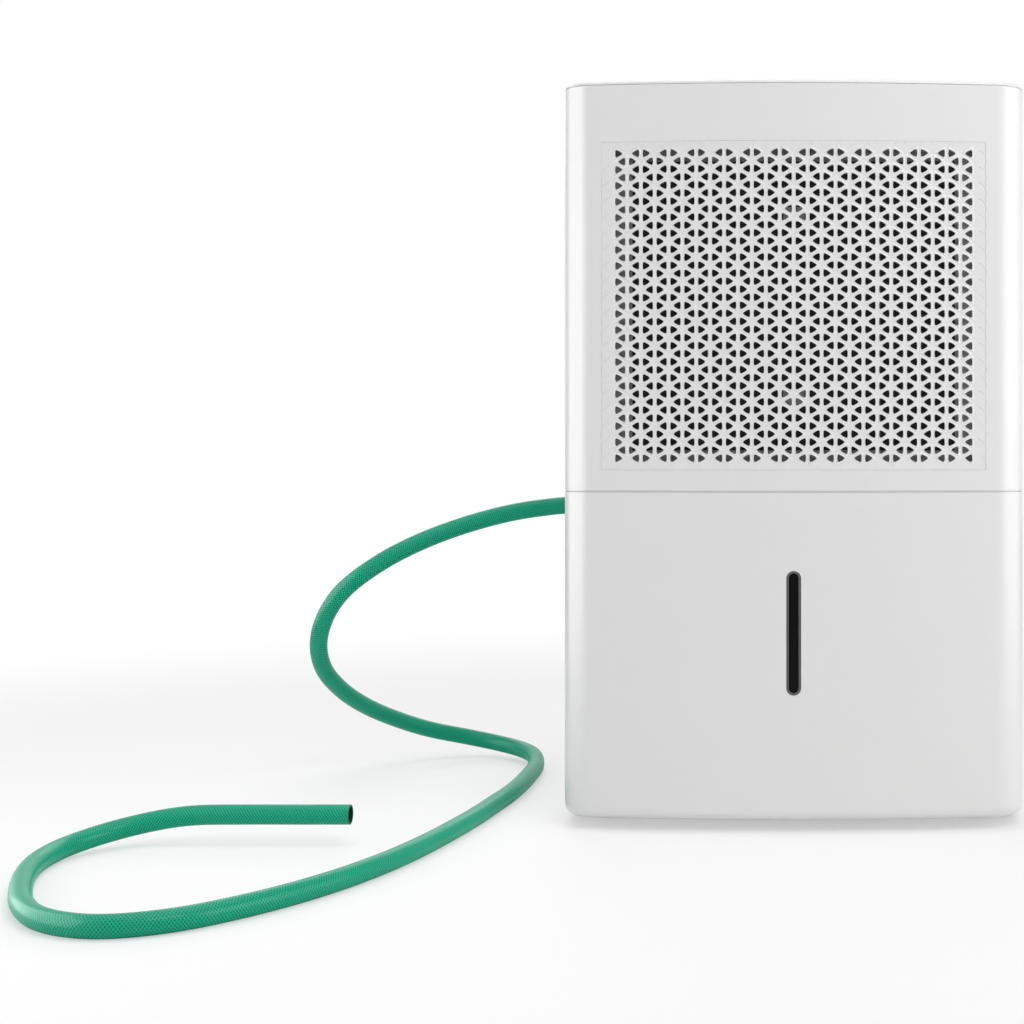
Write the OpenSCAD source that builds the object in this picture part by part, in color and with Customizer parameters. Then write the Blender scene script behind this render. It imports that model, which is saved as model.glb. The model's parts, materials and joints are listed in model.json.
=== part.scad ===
// Portable compressor dehumidifier: a bowed white tower with a triangular lattice intake,
// a pull-out bucket with a level window, a lift-out filter and a braided drain hose.
// Millimetres. +Z is up, the front faces -Y, and the origin is on the floor under the centre.

/* [Body] */
// Width over the cabinet's sides
body_w = 385; // [375:1:410]
// Depth from the crown of the front to the back
body_d = 280; // [276:1:310]
// Height over the top cover, standing on the casters
body_h = 620; // [612:1:680]
// Gap between the cabinet and the floor
ground_gap = 10; // [8:0.5:11]
// Wall thickness of the outer mouldings
wall = 2.5; // [2:0.1:2.8]
// Radius of the front's shallow bow
bow_r = 1400; // [1000:10:2000]
// Radius of the upright front corners
corner_r = 28; // [22:1:32]
// Radius of the upright rear corners
rear_r = 18; // [10:1:24]
// How far the front mouldings wrap back along the sides
front_wrap = 52; // [50:1:53]
// Gap between the front panel and the bucket front
front_seam = 1.5; // [0.8:0.1:2.5]
// Gap at the side seam between front and rear mouldings
side_seam = 0.6; // [0.4:0.1:0.9]
// Thickness of the top cover
top_t = 3; // [2.7:0.1:4]
// Radius along the top cover's edge
top_edge_r = 2.4; // [1:0.1:2.6]
// Radius along the bucket front's lower edge
bottom_edge_r = 10; // [6:0.5:14]
// Assembly clearance between pieces that sit together
fit = 0.3; // [0.2:0.05:0.4]

/* [Intake grille] */
// Side of the lattice's triangles, from bar centre to bar centre
lattice_side = 13.22; // [12.5:0.01:13.4]
// Width of the lattice bars
bar_w = 3.4; // [2.6:0.1:4.2]
// Least distance from the cabinet's sides to the lattice
lattice_side_gap = 40; // [38:1:60]
// Least plain height that the lattice leaves on the front panel
lattice_end_gap = 76; // [70:1:120]
// Plain border at the sides of the lattice
border_x = 9.6; // [8:0.1:11]
// Plain border over and under the outer rows' centres
border_z = 9.5; // [8:0.1:12]
// Height of the grille's lower edge over the front panel's
grille_rise = 17; // [14:0.5:20]
// Width of the flange that holds the grille from behind
flange_w = 4; // [3:0.5:5]

/* [Bucket] */
// Height of the bucket front
bucket_front_h = 270.7; // [268:0.1:276]
// Distance from the cabinet's sides to the tub's rim
tub_side_gap = 57.5; // [56:0.5:72]
// Room between the tub and the cabinet's back, for the compressor
rear_room = 120; // [116:1:140]
// Height of the tub
tub_h = 220; // [205:1:222]
// Wall thickness of the tub
tub_wall = 2.2; // [1.8:0.1:3]
// Height of the tub's bottom over the floor
tub_z = 30; // [28:0.5:32]
// Distance from the front's crown to the tub
tub_setback = 20; // [18:0.5:21]
// Height of the finger notches in the bucket front's sides
notch_h = 70; // [50:1:80]
// Depth of the finger notches
notch_d = 15; // [12:0.5:18]
// Drop from the bucket front's top to the finger notches
notch_drop = 24; // [20:1:40]

/* [Level window] */
// Width over the window's bezel
window_w = 12; // [10:0.5:16]
// Height over the window's bezel
window_h = 102; // [80:1:120]
// Height of the window's centre over the floor
window_z = 165; // [150:1:180]
// Width of the bezel's ring
bezel_w = 1.9; // [1.4:0.1:2.6]

/* [Filter] */
// Distance from the cabinet's sides to the filter frame
filter_side_gap = 42.5; // [41.5:0.5:50]
// Thickness of the filter frame
filter_t = 4; // [3:0.5:5]
// Distance from the front's crown to the filter's face
filter_setback = 18.5; // [18.2:0.1:19.5]
// Width of the frame's outer bars
filter_bar = 16; // [8:1:18]
// Width of the frame's ribs
filter_rib = 4; // [3:0.5:6]

/* [Coils] */
// Distance from the cabinet's sides to the coils' end plates
coil_side_gap = 42.5; // [40.5:0.5:52]
// Drop from the top cover to the coils
coil_top_gap = 56.8; // [54:0.1:63]
// Depth of one coil
coil_d = 24; // [20:1:26]
// Radius of the copper tubes
tube_r = 4; // [3:0.25:5]
// Passes of tube in each coil
tube_rows = 8; // [6:2:8]
// Pitch of the fins
fin_pitch = 10; // [8:1:15]
// Thickness of a fin
fin_t = 0.8; // [0.6:0.1:1.2]

/* [Fan] */
// Radius over the fan's blades
fan_r = 104; // [90:1:108]
// Gap between the blades and the duct
fan_gap = 4; // [3:0.5:6]
// Radius of the fan's hub
hub_r = 30; // [26:1:34]
// Number of blades
blade_count = 7; // [5:1:9]
// Length of the duct
duct_l = 58; // [52:1:60]
// Radius of the motor
motor_r = 38; // [32:1:42]
// Length of the motor
motor_l = 50; // [40:1:56]
// Radius of the motor's shaft
shaft_r = 4; // [3:0.25:5]

/* [Compressor] */
// Radius of the compressor's shell
comp_r = 46; // [42:1:48]
// Height of the compressor's shell
comp_h = 190; // [170:1:200]
// Radius of the accumulator
accu_r = 18; // [15:1:20]
// Radius of the refrigerant lines
line_r = 3.5; // [3:0.25:4]

/* [Controls] */
// Width of the control plate
plate_w = 190; // [180:1:210]
// Depth of the control plate
plate_d = 60; // [56:1:64]
// Radius of a button
button_r = 9; // [7:0.5:10]
// Distance from the control plate's ends to the outer buttons
button_margin = 31; // [25:1:38]
// Travel of a button
button_travel = 0.8; // [0.5:0.1:1]

/* [Casters] */
// Radius of a caster wheel
wheel_r = 12.5; // [12:0.25:13]
// Width of a caster wheel
wheel_w = 12; // [10:0.5:13]
// Distance that the wheel trails its swivel
trail = 7; // [5:0.5:7.5]
// Radius of the swivel's stem
stem_r = 4; // [3:0.25:5]
// Distance of the swivels from the cabinet's sides
caster_inset = 27; // [26.8:0.1:27.5]
// Running clearance of shafts and stems
running = 0.05; // [0.03:0.01:0.08]

/* [Drain and cord] */
// Outside diameter of the drain hose
hose_d = 16; // [15:0.5:18]
// Bore of the drain hose
hose_bore = 12.5; // [11:0.5:13]
// Height of the drain port
port_z = 264; // [260:1:264]
// Depth of the recess round the drain port
pocket_d = 26; // [24:1:28]
// Bore of the power cord's gland
gland_bore = 8; // [6:0.5:10]

/* [Hidden] */
$fn = 48;
cut = 1; // how far a cutter runs past what it cuts
white = [0.93, 0.93, 0.92];
clear_grey = [0.75, 0.8, 0.83, 0.6];
dark = [0.16, 0.16, 0.17];
metal = [0.7, 0.71, 0.73];
copper = [0.72, 0.42, 0.27];

// Outer form
half_w = body_w / 2;
front_y = -body_d / 2;
back_y = body_d / 2;
split_y = front_y + front_wrap;
rear_start = split_y + side_seam;
bow_centre = front_y + bow_r;
corner_x = half_w - corner_r;
corner_y = bow_centre - sqrt(pow(bow_r - corner_r, 2) - corner_x * corner_x);
bow_end = asin(corner_x / (bow_r - corner_r));
corner_steps = 12;
bucket_top = ground_gap + bucket_front_h;
panel_bottom = bucket_top + front_seam;
panel_top = body_h - top_t - fit;

// Lattice
pitch_x = lattice_side * sqrt(3) / 2;
pitch_z = lattice_side / 2;
lattice_cols = 2 * floor((half_w - lattice_side_gap) / pitch_x);
lattice_rows = 2 * floor((panel_top - panel_bottom - lattice_end_gap) / lattice_side) + 1;
lattice_half = lattice_cols * pitch_x / 2;
grille_half = lattice_half + border_x;
grille_z = panel_bottom + grille_rise;
grille_h = (lattice_rows - 1) * pitch_z + 2 * border_z;
grille_top = grille_z + grille_h;
flange_t = 2;
grille_xs = concat([-grille_half], [for (c = [0:lattice_cols]) (c - lattice_cols / 2) * pitch_x], [grille_half]);

// Bay, tub and base
base_t = 3;
base_h = 14;
base_floor = ground_gap + base_t;
tub_front = front_y + tub_setback;
tub_back = back_y - rear_room;
tub_half = half_w - tub_side_gap;
tub_top = tub_z + tub_h;
tub_rim = 3;
tub_corner = 14;
lid_t = 3;
bay_gap = 2;
bay_t = 2;
bay_half = tub_half + bay_gap;
bay_back = tub_back + 6;
deck_z = panel_bottom + 2;
deck_t = 3;
deck_rim = 6;
deck_floor = deck_z + deck_t;
deck_inset = wall + fit;

// Rear shell: the back panel ends short of the rear corners, on a tongue of each side panel
back_half = half_w - rear_r - 1;
tuck = 26;
tuck_t = 2;
screw_x = half_w - 34.5;
screw_zs = [120, deck_z + 26.8, panel_top - 28.7];

// Lid and spout
grip_h = deck_z - tub_top - lid_t - 6;
spout_y = tub_back - 35;

// Float, hinged inside the tub's back wall
float_x = -(tub_half - 30);
pivot_y = tub_back - tub_wall - 9;
pivot_z = tub_top - 12;

// Filter and coils
filter_w = 2 * (half_w - filter_side_gap);
coil_w = 2 * (half_w - coil_side_gap);
coil_h = body_h - coil_top_gap - deck_floor;
filter_y = front_y + filter_setback;
filter_z = deck_floor + 12;
filter_top = body_h - 0.5;
evap_y = filter_y + filter_t + 6;
cond_y = evap_y + coil_d + 6;
coil_z = deck_floor;
tube_pitch = coil_h / (tube_rows + 1);
coil_pipe_z = coil_z + tube_rows * tube_pitch;
coil_end = coil_w / 2 + 2 + fit;

// Fan
duct_y = cond_y + coil_d + 4;
shroud_t = 2.5;
duct_end = duct_y + duct_l;
board_z = body_h - 21.7;
fan_drop = 5;
fan_z = (deck_floor + board_z) / 2 - fan_drop;
duct_r = fan_r + fan_gap;
bracket_t = 3;
motor_y = duct_end + bracket_t;
hub_l = 34;
hub_y = duct_end - 6 - hub_l;

// Louvres at the back
outlet_half = half_w - 76.5;
outlet_z = deck_floor + 34;
outlet_h = panel_top - outlet_z - 62.5;
slat_count = floor(outlet_h / 16.5) - 1;

// Compressor and what stands beside it
comp_x = half_w - 122.5;
comp_y = bay_back + bay_t + comp_r + 9;
comp_feet_z = base_floor + 22;
comp_z = comp_feet_z + 3;
foot_r = 9;
foot_reach = comp_r + 2;
accu_x = comp_x - comp_r - accu_r - 8;
accu_h = 110;
accu_z = comp_z + 50;
discharge_xy = [half_w - 24.5, bay_back + 40];
suction_xy = [half_w - 20.5, bay_back + 18];

// Electrics, on the back of the bucket bay's wall
wall_y = bay_back + bay_t;
box_x0 = -(half_w - 57.5);
box_x1 = accu_x - accu_r - 20;
cap_x = (box_x0 + box_x1) / 2 + 2.5;
box_z = 60;
box_h = 110;
gland_x = half_w - 67.5;
gland_z = 62;
gland_r = 9;

// Control well in the top cover
plate_y = filter_y + filter_t + 58;
plate_t = 2.7;
plate_z = body_h - 1 - plate_t;
button_pitch = (plate_w - 2 * button_margin) / 4;
button_y = plate_y + 14;
button_names = ["button_power", "button_mode", "button_fan_speed", "button_humidity", "button_timer"];
board_t = 1.6;
button_foot = plate_z - 9;

// Casters
caster_x = half_w - caster_inset;
caster_front_y = rear_start + 27.4;
caster_rear_y = back_y - 38;
caster_places = [[-1, caster_front_y], [1, caster_front_y], [-1, caster_rear_y], [1, caster_rear_y]];
caster_names = ["fl", "fr", "rl", "rr"];
axle_r = 2.5;
cheek_t = 2.2;
crown_z = 2 * wheel_r + 3;
crown_t = 3;
well_half = 21.8;
well_t = 1.6;
well_lip = 2.5;
well_lip_t = 1.5;
well_z = crown_z + crown_t + 2;
stem_top = well_z + 15;

// Cups let into the side panels, one for each grip and one round the drain port
cup_t = 2.2;
cup_lip = 2.5;
cup_lip_t = 1.5;

// Drain, through the left side; distances along it are from the cabinet's centre
pocket_w = 52;
pocket_rise = 14.5;
pocket_drop = 25.5;
port_y = bay_back + bay_t + cup_t + cup_lip + 1.3 + pocket_w / 2;
port_in = half_w - pocket_d - cup_t;
port_l = 12;
port_r = 8;
hose_r = hose_d / 2;
coupling_in = half_w - pocket_d + 4;
coupling_l = 18;
hose_start = half_w + 7.5;
pipe_r = 7;
pipe_bend = 14;
pipe_x = port_in - port_l - 4 - pipe_bend;
tail_l = 30;
hose_steps = 2;

// Side grips
grip_z = body_h - 140;
grip_open = 40;
grip_len = 100;
grip_depth = 24;
grip_y0 = -10;

// The hose's route from the drain port to its cut end: out of the left side, round in a
// hanging bend down to the floor, forward and round again to the tail, which stands clear
hose_route = [
    [-hose_start, port_y, port_z], [-hose_start - 7, port_y, port_z], [-hose_start - 14, port_y, port_z], [-259, 58, 258],
    [-302, 50, 247], [-342, 35, 232], [-379, 20, 212], [-414, 15, 184], [-436, 30, 148],
    [-442, 59, 114], [-434, 94, 87], [-419, 131, 65], [-398, 166, 47], [-370, 198, 31],
    [-330, 214, 20], [-288, 203, 13], [-261, 167, 11], [-251, 123, hose_r + 0.3],
    [-250, 78, hose_r], [-251, 33, hose_r], [-254, -12, hose_r], [-260, -57, hose_r],
    [-266, -102, hose_r], [-274, -147, hose_r], [-283, -191, hose_r], [-294, -235, hose_r],
    [-308, -278, hose_r], [-326, -320, hose_r], [-348, -359, hose_r], [-375, -395, hose_r],
    [-408, -426, hose_r], [-450, -440, hose_r], [-491, -424, hose_r], [-520, -389, hose_r],
    [-540, -348, hose_r], [-556, -305, hose_r], [-565, -261, hose_r], [-560, -217, hose_r + 1.6],
    [-530, -184, hose_r + 7.7], [-487, -175, hose_r + 14.7], [-442, -175, hose_r + 15.9],
    [-396, -175, hose_r + 15.9], [-384.5, -175, hose_r + 15.9]
];

// ---- Outlines ----

// a point on the bowed front, set in by i, at the angle a from the crown
function bow_point(i, a) = [(bow_r - i) * sin(a), bow_centre - (bow_r - i) * cos(a)];

// the front corner on one side, from the bow round to the side
function corner_line(side, i) = [
    for (k = [0:corner_steps]) let (a = bow_end + (90 - bow_end) * k / corner_steps)
        [side * (corner_x + (corner_r - i) * sin(a)), corner_y - (corner_r - i) * cos(a)]
];

function backwards(line) = [for (k = [len(line) - 1:-1:0]) line[k]];

// the front from the left side, round the bow, to the right side
function front_arcs(i) = concat(
    backwards(corner_line(-1, i)),
    [for (x = grille_xs) bow_point(i, asin(x / bow_r))],
    corner_line(1, i)
);

// the rear corners, from the right side to the left
function rear_arcs(i) = [
    for (side = [1, -1]) for (k = [0:8]) let (a = side > 0 ? k * 90 / 8 : 90 - k * 90 / 8)
        [side * (half_w - rear_r + (rear_r - i) * cos(a)), back_y - rear_r + (rear_r - i) * sin(a)]
];

// the front and the rear, each with its sides running to y
function front_line(i, y) = concat([[-(half_w - i), y]], front_arcs(i), [[half_w - i, y]]);
function rear_line(i, y) = concat([[half_w - i, y]], rear_arcs(i), [[-(half_w - i), y]]);

function outline(i) = concat(front_arcs(i), rear_arcs(i));

// a wall that follows a line, from its outer points to its inner ones
function strip(outer, inner) = concat(outer, backwards(inner));

// an upright pill, w wide and h high
function pill(w, h) = [
    for (k = [0:31]) let (a = (k + 0.5) * 360 / 32)
        [w / 2 * cos(a), w / 2 * sin(a) + (a < 180 ? 1 : -1) * (h - w) / 2]
];

// a rectangle between two corners with rounded corners
function rounded(x0, y0, x1, y1, r) = [
    for (q = [0:3]) for (k = [0:6]) let (a = q * 90 + k * 15)
        [(q == 0 || q == 3 ? x1 - r : x0 + r) + r * cos(a), (q < 2 ? y1 - r : y0 + r) + r * sin(a)]
];

module slab(z, h, points) {
    translate([0, 0, z]) linear_extrude(h) polygon(points);
}

// an outline drawn on the front's plane, from y to y + d; z is measured along the drawing's y
module facing(y, d) {
    translate([0, y + d, 0]) rotate([90, 0, 0]) linear_extrude(d) children();
}

module box(x0, y0, z0, x1, y1, z1) {
    translate([x0, y0, z0]) cube([x1 - x0, y1 - y0, z1 - z0]);
}

// a cylinder along Y
module rod_y(x, y, z, r, l) {
    translate([x, y, z]) rotate([-90, 0, 0]) cylinder(r = r, h = l);
}

// a cylinder along X
module rod_x(x, y, z, r, l) {
    translate([x, y, z]) rotate([0, 90, 0]) cylinder(r = r, h = l);
}

module post(x, y, z, r, h) {
    translate([x, y, z]) cylinder(r = r, h = h);
}

module both_sides() {
    children();
    mirror([1, 0, 0]) children();
}

// a solid through outlines of as many points each, lowest first
module loft(rings, zs) {
    n = len(rings[0]);
    last = len(rings) - 1;
    polyhedron(
        points = [for (k = [0:last]) for (p = rings[k]) [p[0], p[1], zs[k]]],
        faces = concat(
            [[for (j = [0:n - 1]) j]],
            [[for (j = [n - 1:-1:0]) last * n + j]],
            [for (k = [0:last - 1]) for (j = [0:n - 1])
                [k * n + j, (k + 1) * n + j, (k + 1) * n + (j + 1) % n, k * n + (j + 1) % n]]
        )
    );
}

// ---- Swept tubes ----

// a point between b and c on a smooth curve through a, b, c and d
function between(a, b, c, d, t) = 0.5 * (2 * b + (c - a) * t + (2 * a - 5 * b + 4 * c - d) * t * t
    + (3 * b - a - 3 * c + d) * t * t * t);

// the curve through the points, with n steps from one to the next
function curve(p, n) = let (e = len(p) - 1) concat(
    [for (i = [0:e - 1]) for (s = [0:n - 1])
        between(i > 0 ? p[i - 1] : 2 * p[0] - p[1], p[i], p[i + 1],
            i < e - 1 ? p[i + 2] : 2 * p[e] - p[e - 1], s / n)],
    [p[e]]
);

function unit(v) = v / norm(v);

function heading(p, i) = unit(p[min(i + 1, len(p) - 1)] - p[max(i - 1, 0)]);

// the side directions, carried along the curve without a twist
function sides(p, i, last) = i >= len(p) ? [] : let (
    t = heading(p, i),
    s = unit(last - (last * t) * t)
) concat([s], sides(p, i + 1, s));

// a round tube of radius r along the points, with flat ends square to it
module sweep(p, r, n, first) {
    s = sides(p, 0, first);
    last = len(p) - 1;
    polyhedron(
        points = [for (i = [0:last]) let (t = heading(p, i), u = s[i], v = cross(t, u))
            for (k = [0:n - 1]) p[i] + r * (cos(k * 360 / n) * u + sin(k * 360 / n) * v)],
        faces = concat(
            [[for (k = [0:n - 1]) k]],
            [[for (k = [n - 1:-1:0]) last * n + k]],
            [for (i = [0:last - 1]) for (k = [0:n - 1])
                [i * n + k, (i + 1) * n + k, (i + 1) * n + (k + 1) % n, i * n + (k + 1) % n]]
        )
    );
}

// ---- Outer mouldings ----

module front_panel() {
    shelf = 9;
    color(white) difference() {
        union() {
            slab(panel_bottom, panel_top - panel_bottom, strip(front_line(0, split_y), front_line(wall, split_y)));
            slab(panel_bottom, 1.6, strip(front_line(wall / 2, split_y), front_line(wall + shelf, split_y)));
        }
        box(-grille_half - fit / 2, front_y - cut, grille_z - fit / 2,
            grille_half + fit / 2, split_y, grille_top + fit / 2);
    }
}

// one triangle of the lattice, drawn on the front's plane
module lattice_hole(r, c) {
    points_right = (r + c) % 2 == 0;
    hole_r = lattice_side / sqrt(3) - bar_w;
    x = (c - lattice_cols / 2) * pitch_x + (points_right ? 1 : 2) * pitch_x / 3;
    z = grille_top - border_z - r * pitch_z;
    polygon([for (k = [0:2]) let (a = k * 120 + (points_right ? 0 : 180))
        [x + hole_r * cos(a), z + hole_r * sin(a)]]);
}

// part of the bowed front from x = -half to half, between two insets
function bow_band(half, i0, i1) =
    let (xs = concat([-half], [for (k = [1:len(grille_xs) - 2]) grille_xs[k]], [half]))
    strip([for (x = xs) bow_point(i0, asin(x / bow_r))], [for (x = xs) bow_point(i1, asin(x / bow_r))]);

module intake_grille() {
    color(white) difference() {
        union() {
            slab(grille_z, grille_h, bow_band(grille_half, 0, wall));
            difference() {
                slab(grille_z - flange_w, grille_h + 2 * flange_w,
                    bow_band(grille_half + flange_w, wall + fit / 2, wall + fit / 2 + flange_t));
                box(-lattice_half - 2, front_y, grille_z + border_z - 5,
                    lattice_half + 2, split_y, grille_top - border_z + 5);
            }
            slab(grille_z, grille_h, bow_band(grille_half - 0.5, wall - 0.5, wall + fit));
        }
        facing(front_y - cut, front_wrap)
            for (r = [0:lattice_rows - 1]) for (c = [0:lattice_cols - 1]) lattice_hole(r, c);
    }
}

// a side from the front's seam round the rear corner, in section
module side_section() {
    corner = [for (k = [0:8]) k * 90 / 8];
    arc_x = half_w - rear_r;
    arc_y = back_y - rear_r;
    polygon(concat(
        [[half_w, rear_start]],
        [for (a = corner) [arc_x + rear_r * cos(a), arc_y + rear_r * sin(a)]],
        [[back_half, back_y], [back_half, back_y - wall]],
        [for (a = backwards(corner)) [arc_x + (rear_r - wall) * cos(a), arc_y + (rear_r - wall) * sin(a)]],
        [[half_w - wall, rear_start]]
    ));
}

// the tongue behind the back panel's edge, in section
module tuck_section() {
    y1 = back_y - wall - fit;
    translate([back_half - tuck, y1 - tuck_t]) square([tuck + wall, tuck_t]);
    translate([back_half, y1 - tuck_t]) square([wall, tuck_t + fit + wall / 2]);
}

module side_panel(hole) {
    z0 = ground_gap + base_h;
    boss_y = back_y - 12;
    difference() {
        union() {
            translate([0, 0, z0]) linear_extrude(panel_top - z0) side_section();
            for (z = [[z0 + 1, deck_z - 2], [deck_floor + deck_rim + 1, panel_top - 13]])
                translate([0, 0, z[0]]) linear_extrude(z[1] - z[0]) tuck_section();
            for (z = screw_zs) rod_y(screw_x, boss_y, z, 6, back_y - wall - fit - boss_y - tuck_t / 2);
        }
        for (z = screw_zs) rod_y(screw_x, boss_y - cut, z, 2.2, 20);
        cup_hole(grip_y0, grip_y0 + grip_len, grip_z, grip_z + grip_open);
        if (hole) cup_hole(port_y - pocket_w / 2, port_y + pocket_w / 2, port_z - pocket_drop, port_z + pocket_rise);
    }
}

module side_panels() {
    color(white) {
        side_panel(false);
        mirror([1, 0, 0]) side_panel(true);
    }
}

module back_panel() {
    z0 = ground_gap + base_h;
    half = back_half - fit / 2;
    color(white) difference() {
        box(-half, back_y - wall, z0, half, back_y, panel_top);
        box(-outlet_half - fit, back_y - wall - cut, outlet_z - fit, outlet_half + fit, back_y + cut, outlet_z + outlet_h + fit);
        rod_y(gland_x, back_y - wall - cut, gland_z, gland_r + fit, wall + 2 * cut);
        screw_places() {
            rod_y(0, back_y - wall - cut, 0, 2.2, wall + 2 * cut);
            rod_y(0, back_y - 1.5, 0, 4.3, 1.5 + cut);
        }
    }
}

// the hole in a side panel for a cup, and the cup, by the cup's clear opening
module cup_hole(y0, y1, z0, z1) {
    room = cup_t + fit;
    box(half_w - wall - cut, y0 - room, z0 - room, half_w + cut, y1 + room, z1 + room);
}

module cup(y0, y1, z0, z1, depth) {
    lip = cup_t + cup_lip;
    lip_x = half_w - wall - fit;
    difference() {
        union() {
            box(half_w - depth - cup_t, y0 - cup_t, z0 - cup_t, half_w, y1 + cup_t, z1 + cup_t);
            box(lip_x - cup_lip_t, y0 - lip, z0 - lip, lip_x, y1 + lip, z1 + lip);
        }
        box(half_w - depth, y0, z0, half_w + cut, y1, z1);
    }
}

module side_cups() {
    color(white) {
        both_sides() cup(grip_y0, grip_y0 + grip_len, grip_z, grip_z + grip_open, grip_depth);
        difference() {
            mirror([1, 0, 0])
                cup(port_y - pocket_w / 2, port_y + pocket_w / 2, port_z - pocket_drop, port_z + pocket_rise, pocket_d);
            port_rod(port_in - cut, port_r + fit, cup_t + 2 * cut);
        }
    }
}

module top_cover() {
    steps = 4;
    side_in = wall + fit;
    skirt_t = 2;
    slot_half = filter_w / 2 + 2;
    color(white) difference() {
        union() {
            loft(
                concat([outline(0)], [for (k = [0:steps]) outline(top_edge_r * (1 - cos(k * 90 / steps)))]),
                concat([body_h - top_t], [for (k = [0:steps]) body_h - top_edge_r * (1 - sin(k * 90 / steps))])
            );
            difference() {
                slab(body_h - top_t - 11, 11.5, outline(side_in));
                slab(body_h - top_t - 11 - cut, 11.5 + 2 * cut, outline(side_in + skirt_t));
            }
            box(-plate_w / 2 - 3, plate_y - plate_d / 2 - 3, plate_z - 2.3,
                plate_w / 2 + 3, plate_y + plate_d / 2 + 3, body_h - 1);
        }
        box(-plate_w / 2 - fit, plate_y - plate_d / 2 - fit, plate_z,
            plate_w / 2 + fit, plate_y + plate_d / 2 + fit, body_h + cut);
        box(-plate_w / 2 + 4, plate_y - plate_d / 2 + 4, plate_z - 2.3 - cut,
            plate_w / 2 - 4, plate_y + plate_d / 2 - 4, body_h + cut);
        box(-slot_half, filter_y - 2, body_h - 20, slot_half, filter_y + filter_t + 2, body_h + cut);
        post(0, filter_y + filter_t + 2, body_h - 20, 11, 20 + cut);
    }
}

module outlet_grille() {
    lip = 4;
    slat_pitch = outlet_h / (slat_count + 1);
    color(white) union() {
        difference() {
            union() {
                box(-outlet_half, back_y - 6, outlet_z, outlet_half, back_y, outlet_z + outlet_h);
                box(-outlet_half - lip, back_y - 6, outlet_z - lip,
                    outlet_half + lip, back_y - wall - fit, outlet_z + outlet_h + lip);
            }
            box(-outlet_half + 6, back_y - 6 - cut, outlet_z + 6,
                outlet_half - 6, back_y + cut, outlet_z + outlet_h - 6);
        }
        for (k = [1:slat_count])
            translate([-outlet_half + 4, back_y - 4.5, outlet_z + k * slat_pitch]) rotate([35, 0, 0])
                translate([0, -4, -0.9]) cube([2 * outlet_half - 8, 8, 1.8]);
        for (x = [-0.5, 0.5])
            box(x * outlet_half - 1.5, back_y - 6, outlet_z + 4, x * outlet_half + 1.5, back_y - 3.5, outlet_z + outlet_h - 4);
    }
}

// the back's screws: mirrored pairs at three heights
module screw_places() {
    for (x = [-screw_x, screw_x]) for (z = screw_zs) translate([x, 0, z]) children();
}

module case_screws() {
    color(metal) screw_places() difference() {
        union() {
            rod_y(0, back_y - 1.5, 0, 4, 1.4);
            rod_y(0, back_y - 15, 0, 2, 14);
        }
        box(-2.6, back_y - 0.8, -0.5, 2.6, back_y, 0.5);
        box(-0.5, back_y - 0.8, -2.6, 0.5, back_y, 2.6);
    }
}

// ---- Chassis ----

module base_pan() {
    rail_w = 14;
    color(white) difference() {
        union() {
            slab(ground_gap, base_t, rear_line(0, rear_start));
            slab(ground_gap, base_h, strip(rear_line(0, rear_start), rear_line(wall, rear_start)));
            both_sides() box(tub_half - 45, rear_start, ground_gap + base_t / 2,
                tub_half - 45 + rail_w, tub_back, tub_z - fit);
            foot_places() post(0, 0, ground_gap + base_t / 2, foot_r + 3, base_t / 2 + 2);
        }
        for (p = caster_places) translate([0, p[1], ground_gap - cut]) mirror([p[0] < 0 ? 1 : 0, 0, 0]) {
            well_block(well_half + well_t + fit, 0, base_t + 2 * cut);
            well_block(well_half + well_t + fit, well_lip, well_lip_t + fit / 2 + cut);
        }
        foot_places() post(0, 0, base_floor + 1, 2.5 + fit, 2);
    }
}

// a block round a right-hand caster, with a lip on three sides
module well_block(half, lip, h) {
    translate([caster_x - half - lip, -half - lip, 0]) cube([2 * half + lip, 2 * (half + lip), h]);
}

// the pockets that the casters turn in, let into the base from below
module caster_sockets() {
    color(dark) for (p = caster_places) mirror([p[0] < 0 ? 1 : 0, 0, 0]) difference() {
        union() {
            translate([0, p[1], ground_gap]) {
                well_block(well_half + well_t, 0, well_z + 3 - ground_gap);
                well_block(well_half + well_t, well_lip, well_lip_t);
            }
            post(caster_x, p[1], well_z + 1, stem_r + 4, stem_top + 1 - well_z);
        }
        translate([0, p[1], ground_gap - cut]) well_block(well_half, 0, well_z - ground_gap + cut);
        post(caster_x, p[1], well_z - cut, stem_r + running, stem_top - well_z + 2 + 2 * cut);
    }
}

module bucket_bay() {
    flange_y = rear_start + 0.4;
    reach = half_w - wall - fit;
    color(white) translate([0, 0, base_floor]) linear_extrude(deck_z - fit - base_floor) {
        translate([-reach, bay_back]) square([2 * reach, bay_t]);
        for (side = [-1, 1]) {
            translate([side > 0 ? bay_half : -bay_half - bay_t, flange_y]) square([bay_t, bay_back - flange_y + bay_t / 2]);
            translate([side > 0 ? bay_half : -reach, flange_y]) square([reach - bay_half, bay_t]);
        }
    }
}

module drain_deck() {
    color(white) difference() {
        union() {
            slab(deck_z, deck_t, outline(deck_inset));
            difference() {
                slab(deck_z, deck_t + deck_rim, outline(deck_inset));
                slab(deck_z - cut, deck_t + deck_rim + 2 * cut, outline(deck_inset + 2));
            }
            post(0, spout_y, deck_z - 2, 9, deck_t);
        }
        post(0, spout_y, deck_z - 4, 6, deck_t + 6);
        post(-pipe_x, port_y, deck_z - cut, 5, deck_t + 2 * cut);
        post(discharge_xy[0], discharge_xy[1], deck_z - cut, line_r + 3, deck_t + 2 * cut);
        post(suction_xy[0], suction_xy[1], deck_z - cut, line_r + 3, deck_t + 2 * cut);
    }
}

// ---- Drain ----

// a cylinder out through the left side, from d to d + l from the centre
module port_rod(d, r, l) {
    translate([-d, port_y, port_z]) rotate([0, -90, 0]) cylinder(r = r, h = l);
}

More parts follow.
